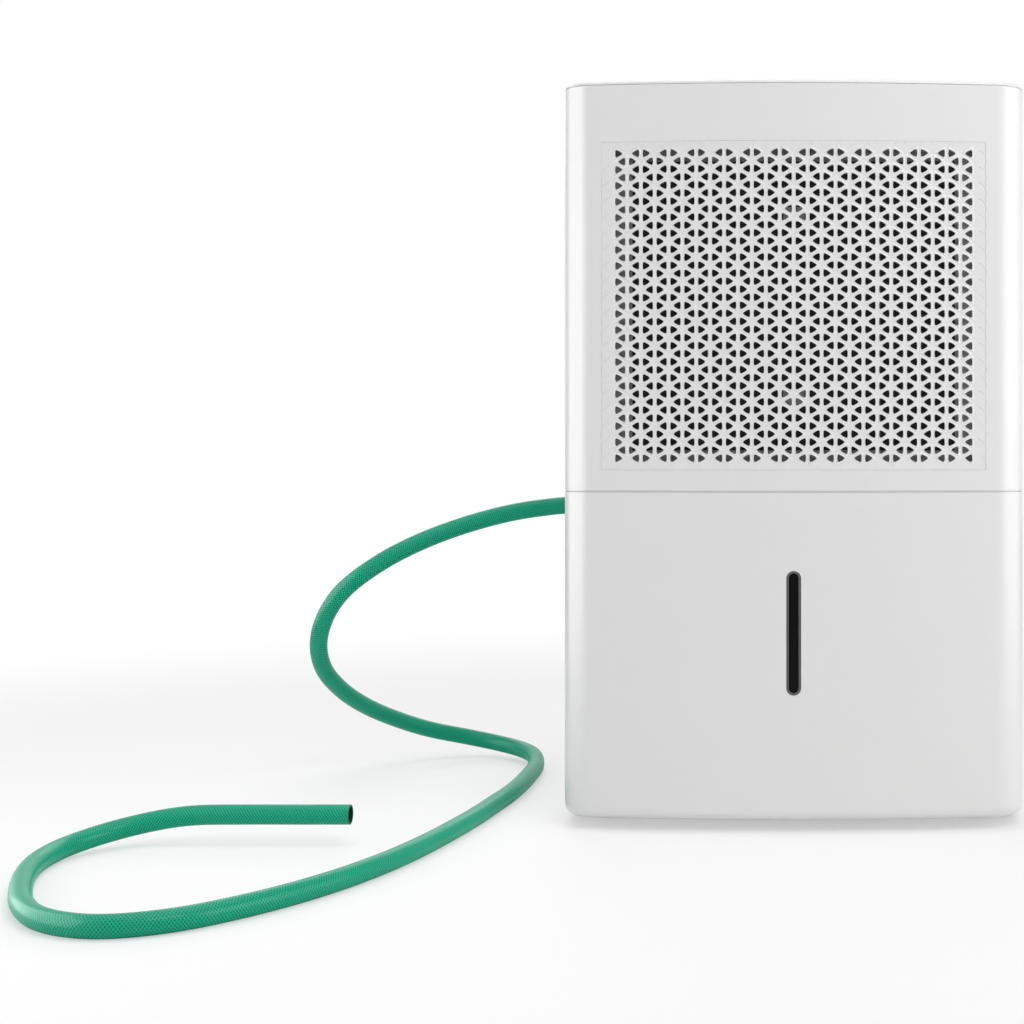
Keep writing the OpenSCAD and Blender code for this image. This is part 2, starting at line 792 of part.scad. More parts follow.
module drain_pipe() {
    color(dark) union() {
        post(-pipe_x, port_y, port_z + pipe_bend, pipe_r, deck_z - port_z - pipe_bend);
        translate([-pipe_x - pipe_bend, port_y, port_z + pipe_bend]) rotate([-90, 0, 0])
            rotate_extrude(angle = 90) translate([pipe_bend, 0]) circle(r = pipe_r);
        port_rod(pipe_x + pipe_bend, pipe_r, port_in - port_l - pipe_x - pipe_bend);
    }
}

module drain_port() {
    color(dark) difference() {
        union() {
            port_rod(port_in - port_l, port_r, port_l + cup_t + 4 - fit);
            port_rod(port_in - 3, port_r + 3, 3);
            port_rod(coupling_in - 2, hose_bore / 2 - 0.2, 20);
        }
        port_rod(port_in - port_l - cut, 4.2, 60);
    }
}

module hose_coupling() {
    color(dark) difference() {
        union() {
            port_rod(coupling_in, 11.6, coupling_l);
            port_rod(coupling_in + coupling_l - 1, hose_r + 2, hose_start - fit - coupling_in - coupling_l + 1);
            for (k = [0:11]) translate([-coupling_in - 2, port_y, port_z]) rotate([k * 30, 0, 0])
                translate([0, 0, 11.4]) rotate([0, -90, 0]) cylinder(r = 1.2, h = coupling_l - 4);
        }
        port_rod(coupling_in - cut, hose_bore / 2, 20 + cut);
    }
}

module drain_hose() {
    color([0.25, 0.62, 0.4]) sweep(curve(hose_route, hose_steps), hose_r, 10, [0, 1, 0]);
}

module hose_tail() {
    color([0.25, 0.62, 0.4]) translate(hose_route[len(hose_route) - 1]) difference() {
        rod_x(0, 0, 0, hose_r, tail_l);
        rod_x(-cut, 0, 0, hose_bore / 2, tail_l + 2 * cut);
    }
}

module cord_gland() {
    color(dark) difference() {
        union() {
            rod_y(gland_x, back_y - 10, gland_z, gland_r, 9.9);
            rod_y(gland_x, back_y - wall - fit - 3, gland_z, gland_r + 3, 3);
        }
        rod_y(gland_x, back_y - 10 - cut, gland_z, gland_bore / 2, 10 + 2 * cut);
    }
}

// ---- Cold side ----

module coil(y) {
    mid_y = y + coil_d / 2;
    plate_x = coil_w / 2;
    fin_count = floor((coil_w - 6) / fin_pitch);
    for (side = [-1, 1]) box(side > 0 ? plate_x : -plate_x - 1.5, y, coil_z,
        side > 0 ? plate_x + 1.5 : -plate_x, y + coil_d, coil_z + coil_h);
    for (k = [0:fin_count - 1]) {
        x = (k - (fin_count - 1) / 2) * fin_pitch;
        box(x - fin_t / 2, y + 1, coil_z + 8, x + fin_t / 2, y + coil_d - 1, coil_z + coil_h - 4);
    }
    for (k = [1:tube_rows]) rod_x(-plate_x - 2, mid_y, coil_z + k * tube_pitch, tube_r, 2 * plate_x + 4);
    for (k = [1:tube_rows - 1]) {
        side = k % 2 == 1 ? -1 : 1;
        translate([side * (plate_x + 2), mid_y, coil_z + (k + 0.5) * tube_pitch])
            rotate([90, 0, 0]) rotate([0, 0, side > 0 ? -90 : 90])
                rotate_extrude(angle = 180) translate([tube_pitch / 2, 0]) circle(r = tube_r);
    }
}

module evaporator_coil() {
    color(metal) coil(evap_y);
}

module condenser_coil() {
    color(metal) coil(cond_y);
}

module refrigerant_lines() {
    top = comp_z + comp_h;
    side_x = half_w - 15;
    evap_mid = evap_y + coil_d / 2;
    cond_mid = cond_y + coil_d / 2;
    rise = coil_pipe_z - deck_floor;
    color(copper) union() {
        sweep(curve([
            [comp_x - 14, comp_y, top + 2 * fit], [comp_x - 14, comp_y, top + 10], [comp_x - 4, comp_y - 2, top + 22],
            [comp_x + 40, comp_y - 8, top + 26], [discharge_xy[0] - 16, discharge_xy[1] + 2, deck_z - 22],
            [discharge_xy[0], discharge_xy[1], deck_z - 6], [discharge_xy[0], discharge_xy[1], deck_floor + 8],
            [side_x - 2, 30, deck_floor + 50], [side_x, 0, deck_floor + 0.54 * rise], [side_x, -40, deck_floor + 0.74 * rise],
            [side_x, cond_mid + 2, coil_pipe_z - 30], [side_x - 6, cond_mid, coil_pipe_z - 6],
            [side_x - 14, cond_mid, coil_pipe_z], [coil_end, cond_mid, coil_pipe_z]
        ], 3), line_r, 8, [0, 1, 0]);
        sweep(curve([
            [accu_x, comp_y, accu_z + accu_h + 2 * fit], [accu_x, comp_y, accu_z + accu_h + 16],
            [accu_x + 12, comp_y - 14, accu_z + accu_h + 34], [accu_x + 60, comp_y - 34, accu_z + accu_h + 44],
            [suction_xy[0] - 26, suction_xy[1] + 2, deck_z - 30],
            [suction_xy[0], suction_xy[1], deck_z - 8], [suction_xy[0], suction_xy[1], deck_floor + 8],
            [side_x + 5, 10, deck_floor + 40], [side_x + 6, -40, deck_floor + 0.38 * rise],
            [side_x + 6, evap_mid + 6, deck_floor + 0.54 * rise], [side_x + 3, evap_mid, coil_pipe_z - 40],
            [side_x - 4, evap_mid, coil_pipe_z - 6], [side_x - 14, evap_mid, coil_pipe_z], [coil_end, evap_mid, coil_pipe_z]
        ], 3), line_r, 8, [0, 1, 0]);
        translate([coil_end, (evap_mid + cond_mid) / 2, coil_z + tube_pitch]) rotate([0, 0, -90])
            rotate_extrude(angle = 180) translate([(cond_mid - evap_mid) / 2, 0]) circle(r = line_r);
    }
}

// ---- Fan ----

module fan_shroud() {
    half = coil_w / 2 + 8;
    color(white) difference() {
        union() {
            box(-half, duct_y, deck_floor, half, duct_y + shroud_t, coil_z + coil_h + 14);
            rod_y(0, duct_y, fan_z, duct_r + 2.5, duct_l);
        }
        rod_y(0, duct_y - cut, fan_z, duct_r, duct_l + 2 * cut);
    }
}

module motor_bracket() {
    arm_w = 12;
    color(metal) translate([0, 0, fan_z]) facing(duct_end, bracket_t) difference() {
        union() {
            difference() {
                circle(r = duct_r + 8);
                circle(r = duct_r);
            }
            circle(r = motor_r + 4);
            for (k = [0:3]) rotate(45 + 90 * k) translate([motor_r, -arm_w / 2]) square([duct_r + 3 - motor_r, arm_w]);
        }
        circle(r = shaft_r + 5);
    }
}

module fan_motor() {
    color(metal) difference() {
        union() {
            rod_y(0, motor_y, fan_z, motor_r - 4, motor_l);
            rod_y(0, motor_y + 5, fan_z, motor_r, motor_l - 10);
            rod_y(0, motor_y + motor_l - 1, fan_z, 12, 6);
            for (k = [0:3]) translate([0, motor_y, fan_z]) rotate([0, 90 * k, 0])
                translate([motor_r - 6, 0, -5]) cube([9, 5, 10]);
        }
        rod_y(0, motor_y - cut, fan_z, shaft_r + running, motor_l + 8);
    }
}

module fan_shaft() {
    color(metal) rod_y(0, hub_y + 6, fan_z, shaft_r, motor_y + motor_l - 2 - hub_y - 6);
}

// one blade's section at radius q: a cambered arc, turned to its pitch
function blade_section(q) = let (
    chord = 34 + 0.34 * (q - hub_r),
    pitch = 42 - 18 * (q - hub_r) / (fan_r - hub_r),
    camber = 0.08 * chord,
    thick = 1.1
) [for (k = [0:9]) let (
    u = k < 5 ? k / 4 : (9 - k) / 4,
    s = (u - 0.5) * chord,
    h = camber * (1 - pow(2 * u - 1, 2)) + (k < 5 ? -thick : thick) * (0.5 + 0.5 * (1 - pow(2 * u - 1, 2)))
) [q, s * cos(pitch) - h * sin(pitch), s * sin(pitch) + h * cos(pitch)]];

module blade() {
    stations = 5;
    n = 10;
    qs = [for (k = [0:stations]) hub_r - 2 + (fan_r - hub_r + 2) * k / stations];
    // a section's point at arc length s along the circle of radius q
    function wrap(p) = let (a = p[1] / p[0] * 180 / PI) [p[0] * cos(a), -p[2], p[0] * sin(a)];
    polyhedron(
        points = [for (q = qs) for (p = blade_section(q)) wrap(p)],
        faces = concat(
            [[for (k = [0:n - 1]) k]],
            [[for (k = [n - 1:-1:0]) stations * n + k]],
            [for (i = [0:stations - 1]) for (k = [0:n - 1]) for (half = [0, 1])
                half == 0 ? [i * n + k, (i + 1) * n + k, (i + 1) * n + (k + 1) % n]
                    : [i * n + k, (i + 1) * n + (k + 1) % n, i * n + (k + 1) % n]]
        )
    );
}

module fan_blades() {
    color(white) union() {
        difference() {
            rod_y(0, hub_y, fan_z, hub_r, hub_l);
            rod_y(0, hub_y + 4, fan_z, hub_r - 2.5, hub_l);
        }
        difference() {
            rod_y(0, hub_y, fan_z, 9, hub_l);
            rod_y(0, hub_y + 6 - 0.05, fan_z, shaft_r + 0.02, hub_l);
        }
        for (k = [0:blade_count - 1])
            translate([0, hub_y + hub_l / 2, fan_z]) rotate([0, k * 360 / blade_count, 0]) blade();
    }
}

// ---- Compressor ----

module foot_places() {
    for (k = [0:2]) translate([comp_x + foot_reach * cos(k * 120), comp_y + foot_reach * sin(k * 120), 0]) children();
}

// the shell's profile: a dome, a straight side with two weld bands and a dome
module compressor_shell(extra, band) {
    dome = 22;
    r = comp_r + extra;
    translate([comp_x, comp_y, comp_z]) rotate_extrude() polygon(concat(
        [[0, -extra]],
        [for (k = [0:8]) [r * sin(30 + k * 7.5), dome - (dome + extra) * cos(k * 11.25)]],
        [for (z = [0.35, 0.72]) for (p = [[r, 0], [r + band, 0], [r + band, 3], [r, 3]]) if (band > 0) [p[0], z * comp_h + p[1]]],
        [for (k = [0:8]) [r * sin(90 - k * 7.5), comp_h - dome + (dome + extra) * sin(k * 11.25)]],
        [[0, comp_h + extra]]
    ));
}

module compressor() {
    color(dark) union() {
        compressor_shell(0, 0.8);
        translate([0, 0, comp_feet_z]) linear_extrude(comp_z + 1 - comp_feet_z) difference() {
            translate([comp_x, comp_y]) union() {
                circle(r = comp_r * 0.45);
                for (k = [0:2]) rotate(k * 120) union() {
                    translate([0, -foot_r]) square([foot_reach, 2 * foot_r]);
                    translate([foot_reach, 0]) circle(r = foot_r);
                }
            }
            foot_places() circle(r = 5);
        }
    }
}

// rubber grommets under the compressor's feet, each on its pin
module compressor_mounts() {
    color(dark) foot_places() union() {
        post(0, 0, base_floor + 2 + fit, foot_r, comp_feet_z - base_floor - 2 - 2 * fit);
        post(0, 0, comp_feet_z - 2, 4.6, 7);
        post(0, 0, base_floor + 1 + fit, 2.5, 5);
    }
}

module compressor_cap() {
    top = comp_z + comp_h;
    color(dark) difference() {
        union() {
            post(comp_x + 16, comp_y, top - 12, 15, 22);
            post(comp_x + 16, comp_y, top + 9, 11, 5);
        }
        compressor_shell(fit, 0);
        post(comp_x - 14, comp_y, top - 20, line_r + 3, 60);
    }
}

module accumulator() {
    elbow = 12;
    color(dark) union() {
        translate([accu_x, comp_y, accu_z]) rotate_extrude() polygon(concat(
            [[0, 0]],
            [for (k = [0:6]) [accu_r * sin(20 + k * 70 / 6), 10 - 10 * cos(k * 15)]],
            [for (k = [0:6]) [accu_r * sin(90 - k * 70 / 6), accu_h - 10 + 10 * sin(k * 15)]],
            [[0, accu_h]]
        ));
        post(accu_x, comp_y, accu_z - 10, 4, 12);
        translate([accu_x + elbow, comp_y, accu_z - 10]) rotate([90, 0, 0]) rotate([0, 0, 180])
            rotate_extrude(angle = 90) translate([elbow, 0]) circle(r = 4);
        rod_x(accu_x + elbow, comp_y, accu_z - 10 - elbow, 4, comp_x - comp_r - fit - accu_x - elbow);
        box(accu_x, comp_y - 6, accu_z + accu_h * 0.6, comp_x - comp_r - fit, comp_y + 6, accu_z + accu_h * 0.6 + 2);
    }
}

// ---- Electrics ----

module electrics_box() {
    color(dark) difference() {
        union() {
            box(box_x0, wall_y, box_z, box_x1, wall_y + 44, box_z + box_h);
            box(box_x0 - 3, wall_y + 38, box_z - 3, box_x1 + 3, wall_y + 46, box_z + box_h);
        }
        box(box_x0 + 3, wall_y + 3, box_z + 3, box_x1 - 3, wall_y + 43, box_z + box_h - 3);
        box(box_x0 + 12, wall_y + 8, box_z - cut, box_x0 + 40, wall_y + 24, box_z + 3 + cut);
    }
}

module run_capacitor() {
    cap_h = 52;
    top = box_z + box_h + cap_h;
    color(metal) union() {
        post(cap_x, wall_y + 22, top - cap_h, 17, cap_h);
        post(cap_x, wall_y + 22, top - 1, 15, 3);
        for (x = [cap_x - 7, cap_x + 7]) box(x - 3, wall_y + 21.5, top, x + 3, wall_y + 22.5, top + 12);
    }
}

module reed_switch() {
    color(dark) union() {
        box(float_x - 12, wall_y, pivot_z - 8, float_x + 12, wall_y + 7, pivot_z + 10);
        rod_y(float_x, wall_y + 6, pivot_z, 3, 5);
    }
}

module humidity_sensor() {
    x = coil_w / 2 + 1.5;
    color(white) union() {
        box(x, cond_y + 4, coil_z + coil_h - 18, x + 2, cond_y + 20, coil_z + coil_h - 4);
        box(x + 1, cond_y + 8, coil_z + coil_h - 16, x + 6, cond_y + 16, coil_z + coil_h - 6);
    }
}

// ---- Controls ----

module control_plate() {
    lens_half = 26;
    color(dark) difference() {
        union() {
            box(-plate_w / 2, plate_y - plate_d / 2, plate_z, plate_w / 2, plate_y + plate_d / 2, plate_z + plate_t);
            for (x = [-1, 1]) for (y = [-1, 1])
                post(x * (plate_w / 2 - 10), plate_y + y * (plate_d / 2 - 10), board_z + board_t, 4, plate_z - board_z - board_t + 1);
        }
        for (k = [-2:2]) post(k * button_pitch, button_y, plate_z - cut, button_r + fit, plate_t + 2 * cut);
        box(-lens_half - fit, plate_y - 22 - fit, plate_z + 1.2, lens_half + fit, plate_y - 4 + fit, plate_z + plate_t + cut);
        box(-lens_half + 3, plate_y - 19, plate_z - cut, lens_half - 3, plate_y - 7, plate_z + plate_t + cut);
    }
}

module display_lens() {
    color([0.05, 0.05, 0.06]) box(-26, plate_y - 22, plate_z + 1.2, 26, plate_y - 4, plate_z + plate_t);
}

module control_board() {
    color([0.1, 0.4, 0.2]) union() {
        box(-plate_w / 2 + 5, plate_y - plate_d / 2 + 5, board_z, plate_w / 2 - 5, plate_y + plate_d / 2 - 5, board_z + board_t);
        box(-22, plate_y - 18, board_z, 22, plate_y - 8, plate_z - 2);
        for (k = [-2:2]) {
            box(k * button_pitch - 3, button_y - 3, board_z, k * button_pitch + 3, button_y + 3, button_foot - button_travel - fit - 1);
            post(k * button_pitch, button_y, board_z, 1.7, button_foot - button_travel - fit - board_z);
        }
    }
}

module button(k) {
    color(white) union() {
        post(k * button_pitch, button_y, plate_z - 3, button_r, body_h - plate_z + 3);
        post(k * button_pitch, button_y, plate_z - 4, button_r + 2, 4 - fit);
        post(k * button_pitch, button_y, button_foot, 3, plate_z - button_foot - 3.5);
    }
}

// ---- Filter ----

module filter_frame() {
    half = filter_w / 2;
    window_top = grille_top + 2;
    color(dark) union() {
        difference() {
            box(-half, filter_y, filter_z, half, filter_y + filter_t, filter_top);
            box(-half + filter_bar, filter_y - cut, filter_z + filter_bar,
                half - filter_bar, filter_y + filter_t + cut, window_top - filter_bar);
            box(-half + filter_bar, filter_y - cut, window_top, half - filter_bar, filter_y + 1.5, filter_top - 8);
        }
        for (x = [-70, 0, 70])
            box(x - filter_rib / 2, filter_y, filter_z + filter_bar / 2, x + filter_rib / 2, filter_y + 1.5, window_top - filter_bar / 2);
        for (z = [0.22, 0.78]) box(-9, filter_y, filter_z + (window_top - filter_z) * z - 6,
            9, filter_y + 1.5, filter_z + (window_top - filter_z) * z + 6);
    }
}

module filter_mesh() {
    half = filter_w / 2 - filter_bar - fit;
    color([0.1, 0.1, 0.1]) box(-half, filter_y + 1.5 + fit, filter_z + filter_bar + fit,
        half, filter_y + 1.5 + fit + 1, grille_top + 2 - filter_bar - fit);
}

// ---- Bucket ----

// the bucket front's block, rounded along its lower edge, set in by i
module front_block(i, y, top) {
    steps = 5;
    r = bottom_edge_r - i;
    loft(
        concat([for (k = [0:steps]) front_line(i + r * (1 - sin(k * 90 / steps)), y)], [front_line(i, y)]),
        concat([for (k = [0:steps]) ground_gap + i + r * (1 - cos(k * 90 / steps))], [top])
    );
}

module bucket_front() {
    notch_top = bucket_top - notch_drop;
    color(white) difference() {
        front_block(0, split_y, bucket_top);
        front_block(wall, split_y + cut, bucket_top + cut);
        facing(front_y - cut, tub_setback) translate([0, window_z]) polygon(pill(window_w + fit, window_h + fit));
        facing_side() polygon(rounded(split_y - notch_d, notch_top - notch_h, split_y + notch_d, notch_top, 7));
    }
}

// bonded ribs between the front and the tub, seated within a glue line on both
module bucket_clips() {
    glue = 0.05;
    color(white) for (x = [-100, -45, 45, 100]) for (z = [60, 215])
        box(x - 1.5, bow_centre - sqrt(pow(bow_r - wall, 2) - pow(abs(x) + 1.5, 2)) + glue, z,
            x + 1.5, tub_front - glue, z + 26);
}

// a shape drawn on the side's plane (y across, z up), cut through both sides
module facing_side() {
    translate([-half_w - cut, 0, 0]) rotate([90, 0, 90]) linear_extrude(body_w + 2 * cut) children();
}

module window_bezel() {
    color(dark) difference() {
        union() {
            facing(front_y, 4) translate([0, window_z]) polygon(pill(window_w, window_h));
            facing(front_y + wall + 0.1, 1.6) translate([0, window_z]) polygon(pill(window_w + 6, window_h + 6));
        }
        facing(front_y - cut, 8) translate([0, window_z]) polygon(pill(window_w - 2 * bezel_w, window_h - 2 * bezel_w));
    }
}

module level_window() {
    lens_w = window_w - 2 * bezel_w - 0.2;
    color([0.06, 0.06, 0.07]) union() {
        facing(front_y + 0.5, 4.5) translate([0, window_z]) polygon(pill(lens_w, window_h - 2 * bezel_w - 0.2));
        facing(front_y + wall + 0.1 + 1.6 + 0.1, 1.5) translate([0, window_z]) polygon(pill(window_w + 6, window_h + 6));
    }
}

module bucket_tub() {
    ear_t = 5;
    color(clear_grey) difference() {
        union() {
            difference() {
                union() {
                    slab(tub_z, tub_h, rounded(-tub_half + tub_rim, tub_front, tub_half - tub_rim, tub_back, tub_corner));
                    slab(tub_top - 4, 4, rounded(-tub_half, tub_front, tub_half, tub_back, tub_corner));
                }
                slab(tub_z + 2.5, tub_h, rounded(-tub_half + tub_rim + tub_wall, tub_front + tub_wall,
                    tub_half - tub_rim - tub_wall, tub_back - tub_wall, tub_corner - tub_wall));
            }
            for (side = [-1, 1]) box(float_x + side * 15 - ear_t / 2, pivot_y - 6, pivot_z - 8,
                float_x + side * 15 + ear_t / 2, tub_back - tub_wall / 2, pivot_z + 6);
        }
        rod_x(float_x - 15 - ear_t, pivot_y, pivot_z, 3 + running, 30 + 2 * ear_t);
    }
}

module float_arm() {
    reach = 54;
    color(white) union() {
        rod_x(float_x - 17, pivot_y, pivot_z, 3, 34);
        rod_x(float_x - 11, pivot_y, pivot_z, 5, 22);
        box(float_x - 5, pivot_y - reach + 10, pivot_z - 4, float_x + 5, pivot_y, pivot_z);
        slab(pivot_z - 36, 30, rounded(float_x - 18, pivot_y - reach - 22, float_x + 18, pivot_y - reach + 14, 5));
        box(float_x - 5, pivot_y - reach, pivot_z - 8, float_x + 5, pivot_y - reach + 12, pivot_z);
    }
}

module float_magnet() {
    color(metal) post(float_x, pivot_y - 12, pivot_z, 4, 3);
}

module bucket_lid() {
    z = tub_top + fit;
    arch = z + lid_t + grip_h - 0.6;
    lip = tub_rim + tub_wall + fit;
    color(white) difference() {
        union() {
            slab(z, lid_t, rounded(-tub_half, tub_front, tub_half, tub_back, tub_corner));
            difference() {
                slab(z - 5, 5.5, rounded(-tub_half + lip, tub_front + tub_wall + fit,
                    tub_half - lip, tub_back - tub_wall - fit, tub_corner - tub_wall - fit));
                slab(z - 6, 8, rounded(-tub_half + lip + 1.8, tub_front + tub_wall + fit + 1.8,
                    tub_half - lip - 1.8, tub_back - tub_wall - fit - 1.8, tub_corner - tub_wall - fit - 1.8));
                box(float_x - 22, tub_back - 20, z - 7, float_x + 22, tub_back, z);
            }
            // carrying grip
            facing(tub_front + 52, 16) difference() {
                polygon(rounded(-62, z + 1 - 12, 62, arch, 9));
                polygon(rounded(-50, z + 1 - 12, 50, arch - 8, 5));
                translate([-70, z - 20]) square([140, 21]);
            }
        }
        box(-32, spout_y - 14, z - cut, 32, spout_y + 14, z + lid_t + cut);
        box(tub_half - 62, tub_front + 12, z - cut, tub_half - 18, tub_front + 34, z + lid_t + cut);
    }
}

// ---- Casters ----

module caster_fork(k) {
    p = caster_places[k];
    cheek_x = wheel_w / 2 + 0.5;
    color(dark) translate([p[0] * caster_x, p[1], 0]) union() {
        post(0, 0, crown_z, 12, crown_t);
        post(0, 0, crown_z + crown_t - 0.5, 7, well_z - crown_z - crown_t + 0.5 - fit);
        post(0, 0, crown_z + 1, stem_r, stem_top - crown_z - 1);
        for (side = [-1, 1]) translate([side > 0 ? cheek_x : -cheek_x - cheek_t, 0, 0])
            rotate([90, 0, 90]) linear_extrude(cheek_t)
                polygon([[-6, crown_z + 1], [trail - 5, wheel_r - 2], [trail - 3, wheel_r - 5], [trail + 3, wheel_r - 5],
                    [trail + 5, wheel_r - 2], [trail + 5, crown_z - 6], [6, crown_z + 1]]);
        rod_x(-cheek_x - cheek_t, trail, wheel_r, axle_r, 2 * (cheek_x + cheek_t));
    }
}

module caster_wheel(k) {
    p = caster_places[k];
    edge = 2;
    color(dark) translate([p[0] * caster_x - wheel_w / 2, p[1] + trail, wheel_r]) rotate([0, 90, 0])
        rotate_extrude() polygon([
            [axle_r + running, 0], [6, 0], [6.5, 1], [wheel_r - 3.5, 1], [wheel_r - edge, 0],
            [wheel_r - 0.6, 0.6], [wheel_r, edge], [wheel_r, wheel_w - edge], [wheel_r - 0.6, wheel_w - 0.6],
            [wheel_r - edge, wheel_w], [wheel_r - 3.5, wheel_w - 1], [6.5, wheel_w - 1], [6, wheel_w],
            [axle_r + running, wheel_w]
        ]);
}

base_pan();
caster_sockets();
side_panels();
back_panel();
side_cups();
top_cover();
front_panel();
intake_grille();
outlet_grille();
bucket_bay();
drain_deck();
drain_pipe();
drain_port();
cord_gland();
case_screws();
evaporator_coil();
condenser_coil();
fan_shroud();
motor_bracket();
fan_motor();
fan_shaft();
fan_blades();
compressor();
compressor_cap();
compressor_mounts();
accumulator();
refrigerant_lines();
electrics_box();
run_capacitor();
reed_switch();
humidity_sensor();
control_plate();
display_lens();
control_board();
filter_frame();
filter_mesh();
bucket_front();
bucket_clips();
bucket_tub();
bucket_lid();
level_window();
window_bezel();
float_arm();
float_magnet();
for (k = [0:4]) button(k - 2);
for (k = [0:3]) caster_fork(k);
for (k = [0:3]) caster_wheel(k);
hose_coupling();
drain_hose();
hose_tail();
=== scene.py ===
# Portable dehumidifier: a bowed white tower with a triangular lattice intake, a pull-out bucket
# with a level window, a lift-out filter, small casters and a braided green drain hose.
import json
import math
import bpy
import bmesh
from mathutils import Matrix, Vector


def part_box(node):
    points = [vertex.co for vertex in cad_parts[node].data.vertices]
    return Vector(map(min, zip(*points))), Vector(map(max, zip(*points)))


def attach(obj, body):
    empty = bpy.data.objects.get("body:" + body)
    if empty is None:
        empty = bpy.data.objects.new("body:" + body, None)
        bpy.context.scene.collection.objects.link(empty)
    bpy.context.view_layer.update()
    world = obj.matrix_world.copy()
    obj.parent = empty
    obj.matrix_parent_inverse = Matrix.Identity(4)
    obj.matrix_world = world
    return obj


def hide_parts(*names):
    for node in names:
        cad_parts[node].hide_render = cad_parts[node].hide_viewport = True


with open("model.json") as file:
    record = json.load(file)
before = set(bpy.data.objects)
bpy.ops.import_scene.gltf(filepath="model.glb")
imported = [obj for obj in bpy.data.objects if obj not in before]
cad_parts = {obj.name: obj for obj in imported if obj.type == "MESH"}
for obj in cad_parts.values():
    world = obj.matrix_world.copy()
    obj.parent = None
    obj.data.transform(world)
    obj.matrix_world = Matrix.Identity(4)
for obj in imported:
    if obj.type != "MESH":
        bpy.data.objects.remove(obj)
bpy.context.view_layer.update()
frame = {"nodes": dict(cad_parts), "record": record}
scene = bpy.context.scene
nodeBody = {node: body for body, nodes in frame["record"]["behaviour"]["bodies"].items() for node in nodes}
nodeSlot = {part["node"]: part["material_slot"] for part in frame["record"]["subparts"]}
print("frame loaded")


# camera and lamps
view = {
    "lens": 60.0,
    "sensor": 36.0,
    "place": (0.0, -1.540, 0.315),
    "shift": (-0.2751, -0.060),
    "clip": (0.05, 40.0),
}


def addCamera():
    data = bpy.data.cameras.new("camera")
    data.lens, data.sensor_width = view["lens"], view["sensor"]
    data.shift_x, data.shift_y = view["shift"]
    data.clip_start, data.clip_end = view["clip"]
    camera = bpy.data.objects.new("camera", data)
    camera.location = view["place"]
    camera.rotation_euler = (math.pi / 2, 0, 0)
    scene.collection.objects.link(camera)
    scene.camera = camera


addCamera()

lamps = {
    # name: place, aim, width, height, watts, whether it shows in gloss alone
    "leftBox": ((-1.25, -0.85, 0.50), (0.0, 0.0, 0.20), 0.6, 0.9, 3.4, False),
    "rightBox": ((1.30, -0.70, 0.60), (0.0, 0.0, 0.30), 0.9, 1.0, 6.4, False),
    "leftGloss": ((-1.25, -0.40, 0.20), (0.0, -0.40, 0.20), 1.5, 2.0, 41.0, True),
    "rightGloss": ((1.25, -0.35, 0.20), (0.0, -0.35, 0.20), 1.5, 2.0, 19.0, True),
    "frontBox": ((0.7, -1.50, 1.65), (0.1, 0.0, 0.70), 0.9, 0.7, 12.5, False),
    "topBox": ((-0.2, -0.10, 2.10), (-0.1, 0.0, 0.0), 1.8, 1.8, 19.0, False),
    "backBox": ((-0.4, 2.20, 1.50), (0.0, 0.0, 0.3), 1.8, 1.2, 14.0, False),
}


def addLamps():
    for name, (place, aim, width, height, watts, glossOnly) in lamps.items():
        data = bpy.data.lights.new(name, "AREA")
        data.shape, data.size, data.size_y, data.energy = "RECTANGLE", width, height, watts
        lamp = bpy.data.objects.new(name, data)
        lamp.location = place
        lamp.rotation_euler = (Vector(place) - Vector(aim)).to_track_quat("Z", "Y").to_euler()
        lamp.visible_diffuse = not glossOnly
        scene.collection.objects.link(lamp)


addLamps()


class Wire:
    # an output socket: plain expressions on it add Math nodes
    def __init__(self, tree, socket):
        self.tree, self.socket = tree, socket

    def maths(self, operation, *values):
        return addNode(self.tree, "ShaderNodeMath", {"operation": operation}, dict(enumerate(values)))

    def __add__(self, other):
        return self.maths("ADD", self, other)

    def __radd__(self, other):
        return self.maths("ADD", other, self)

    def __sub__(self, other):
        return self.maths("SUBTRACT", self, other)

    def __rsub__(self, other):
        return self.maths("SUBTRACT", other, self)

    def __mul__(self, other):
        return self.maths("MULTIPLY", self, other)

    def __rmul__(self, other):
        return self.maths("MULTIPLY", other, self)


def addNode(tree, kind, settings=None, inputs=None, output=0):
    node = tree.nodes.new(kind)
    for key, value in (settings or {}).items():
        if key == "stops":
            ramp = node.color_ramp
            while len(ramp.elements) < len(value):
                ramp.elements.new(0.5)
            for element, (place, color) in zip(ramp.elements, value):
                element.position, element.color = place, (*color, 1.0) if len(color) == 3 else color
        else:
            setattr(node, key, value)
    for key, value in (inputs or {}).items():
        if isinstance(value, Wire):
            tree.links.new(value.socket, node.inputs[key])
        else:
            node.inputs[key].default_value = value
    return Wire(tree, node.outputs[output])


def mixColor(tree, factor, a, b):
    a, b = (color if isinstance(color, Wire) else (*color, 1.0) for color in (a, b))
    return addNode(tree, "ShaderNodeMix", {"data_type": "RGBA"}, {0: factor, 6: a, 7: b}, 2)


def newFinish(name, **sockets):
    # a material with its shader's own sockets set; returns it with its tree and shader
    material = bpy.data.materials.new(name)
    material.use_nodes = True
    tree = material.node_tree
    shader = tree.nodes["Principled BSDF"]
    for key, value in sockets.items():
        socket = shader.inputs[key.replace("_", " ")]
        if socket.type == "RGBA" and len(value) == 3:
            value = (*value, 1.0)
        socket.default_value = value
    return material, tree, shader


def objectPlace(tree):
    return addNode(tree, "ShaderNodeTexCoord", output=3)


def noise(tree, place, scale, detail=2.0, roughness=0.5):
    return addNode(tree, "ShaderNodeTexNoise", None,
                   {"Vector": place, "Scale": scale, "Detail": detail, "Roughness": roughness})


def plug(tree, shader, name, wire):
    tree.links.new(wire.socket, shader.inputs[name])


def bump(tree, shader, height, strength, distance):
    plug(tree, shader, "Normal", addNode(tree, "ShaderNodeBump", None,
                                         {"Height": height, "Strength": strength, "Distance": distance}))


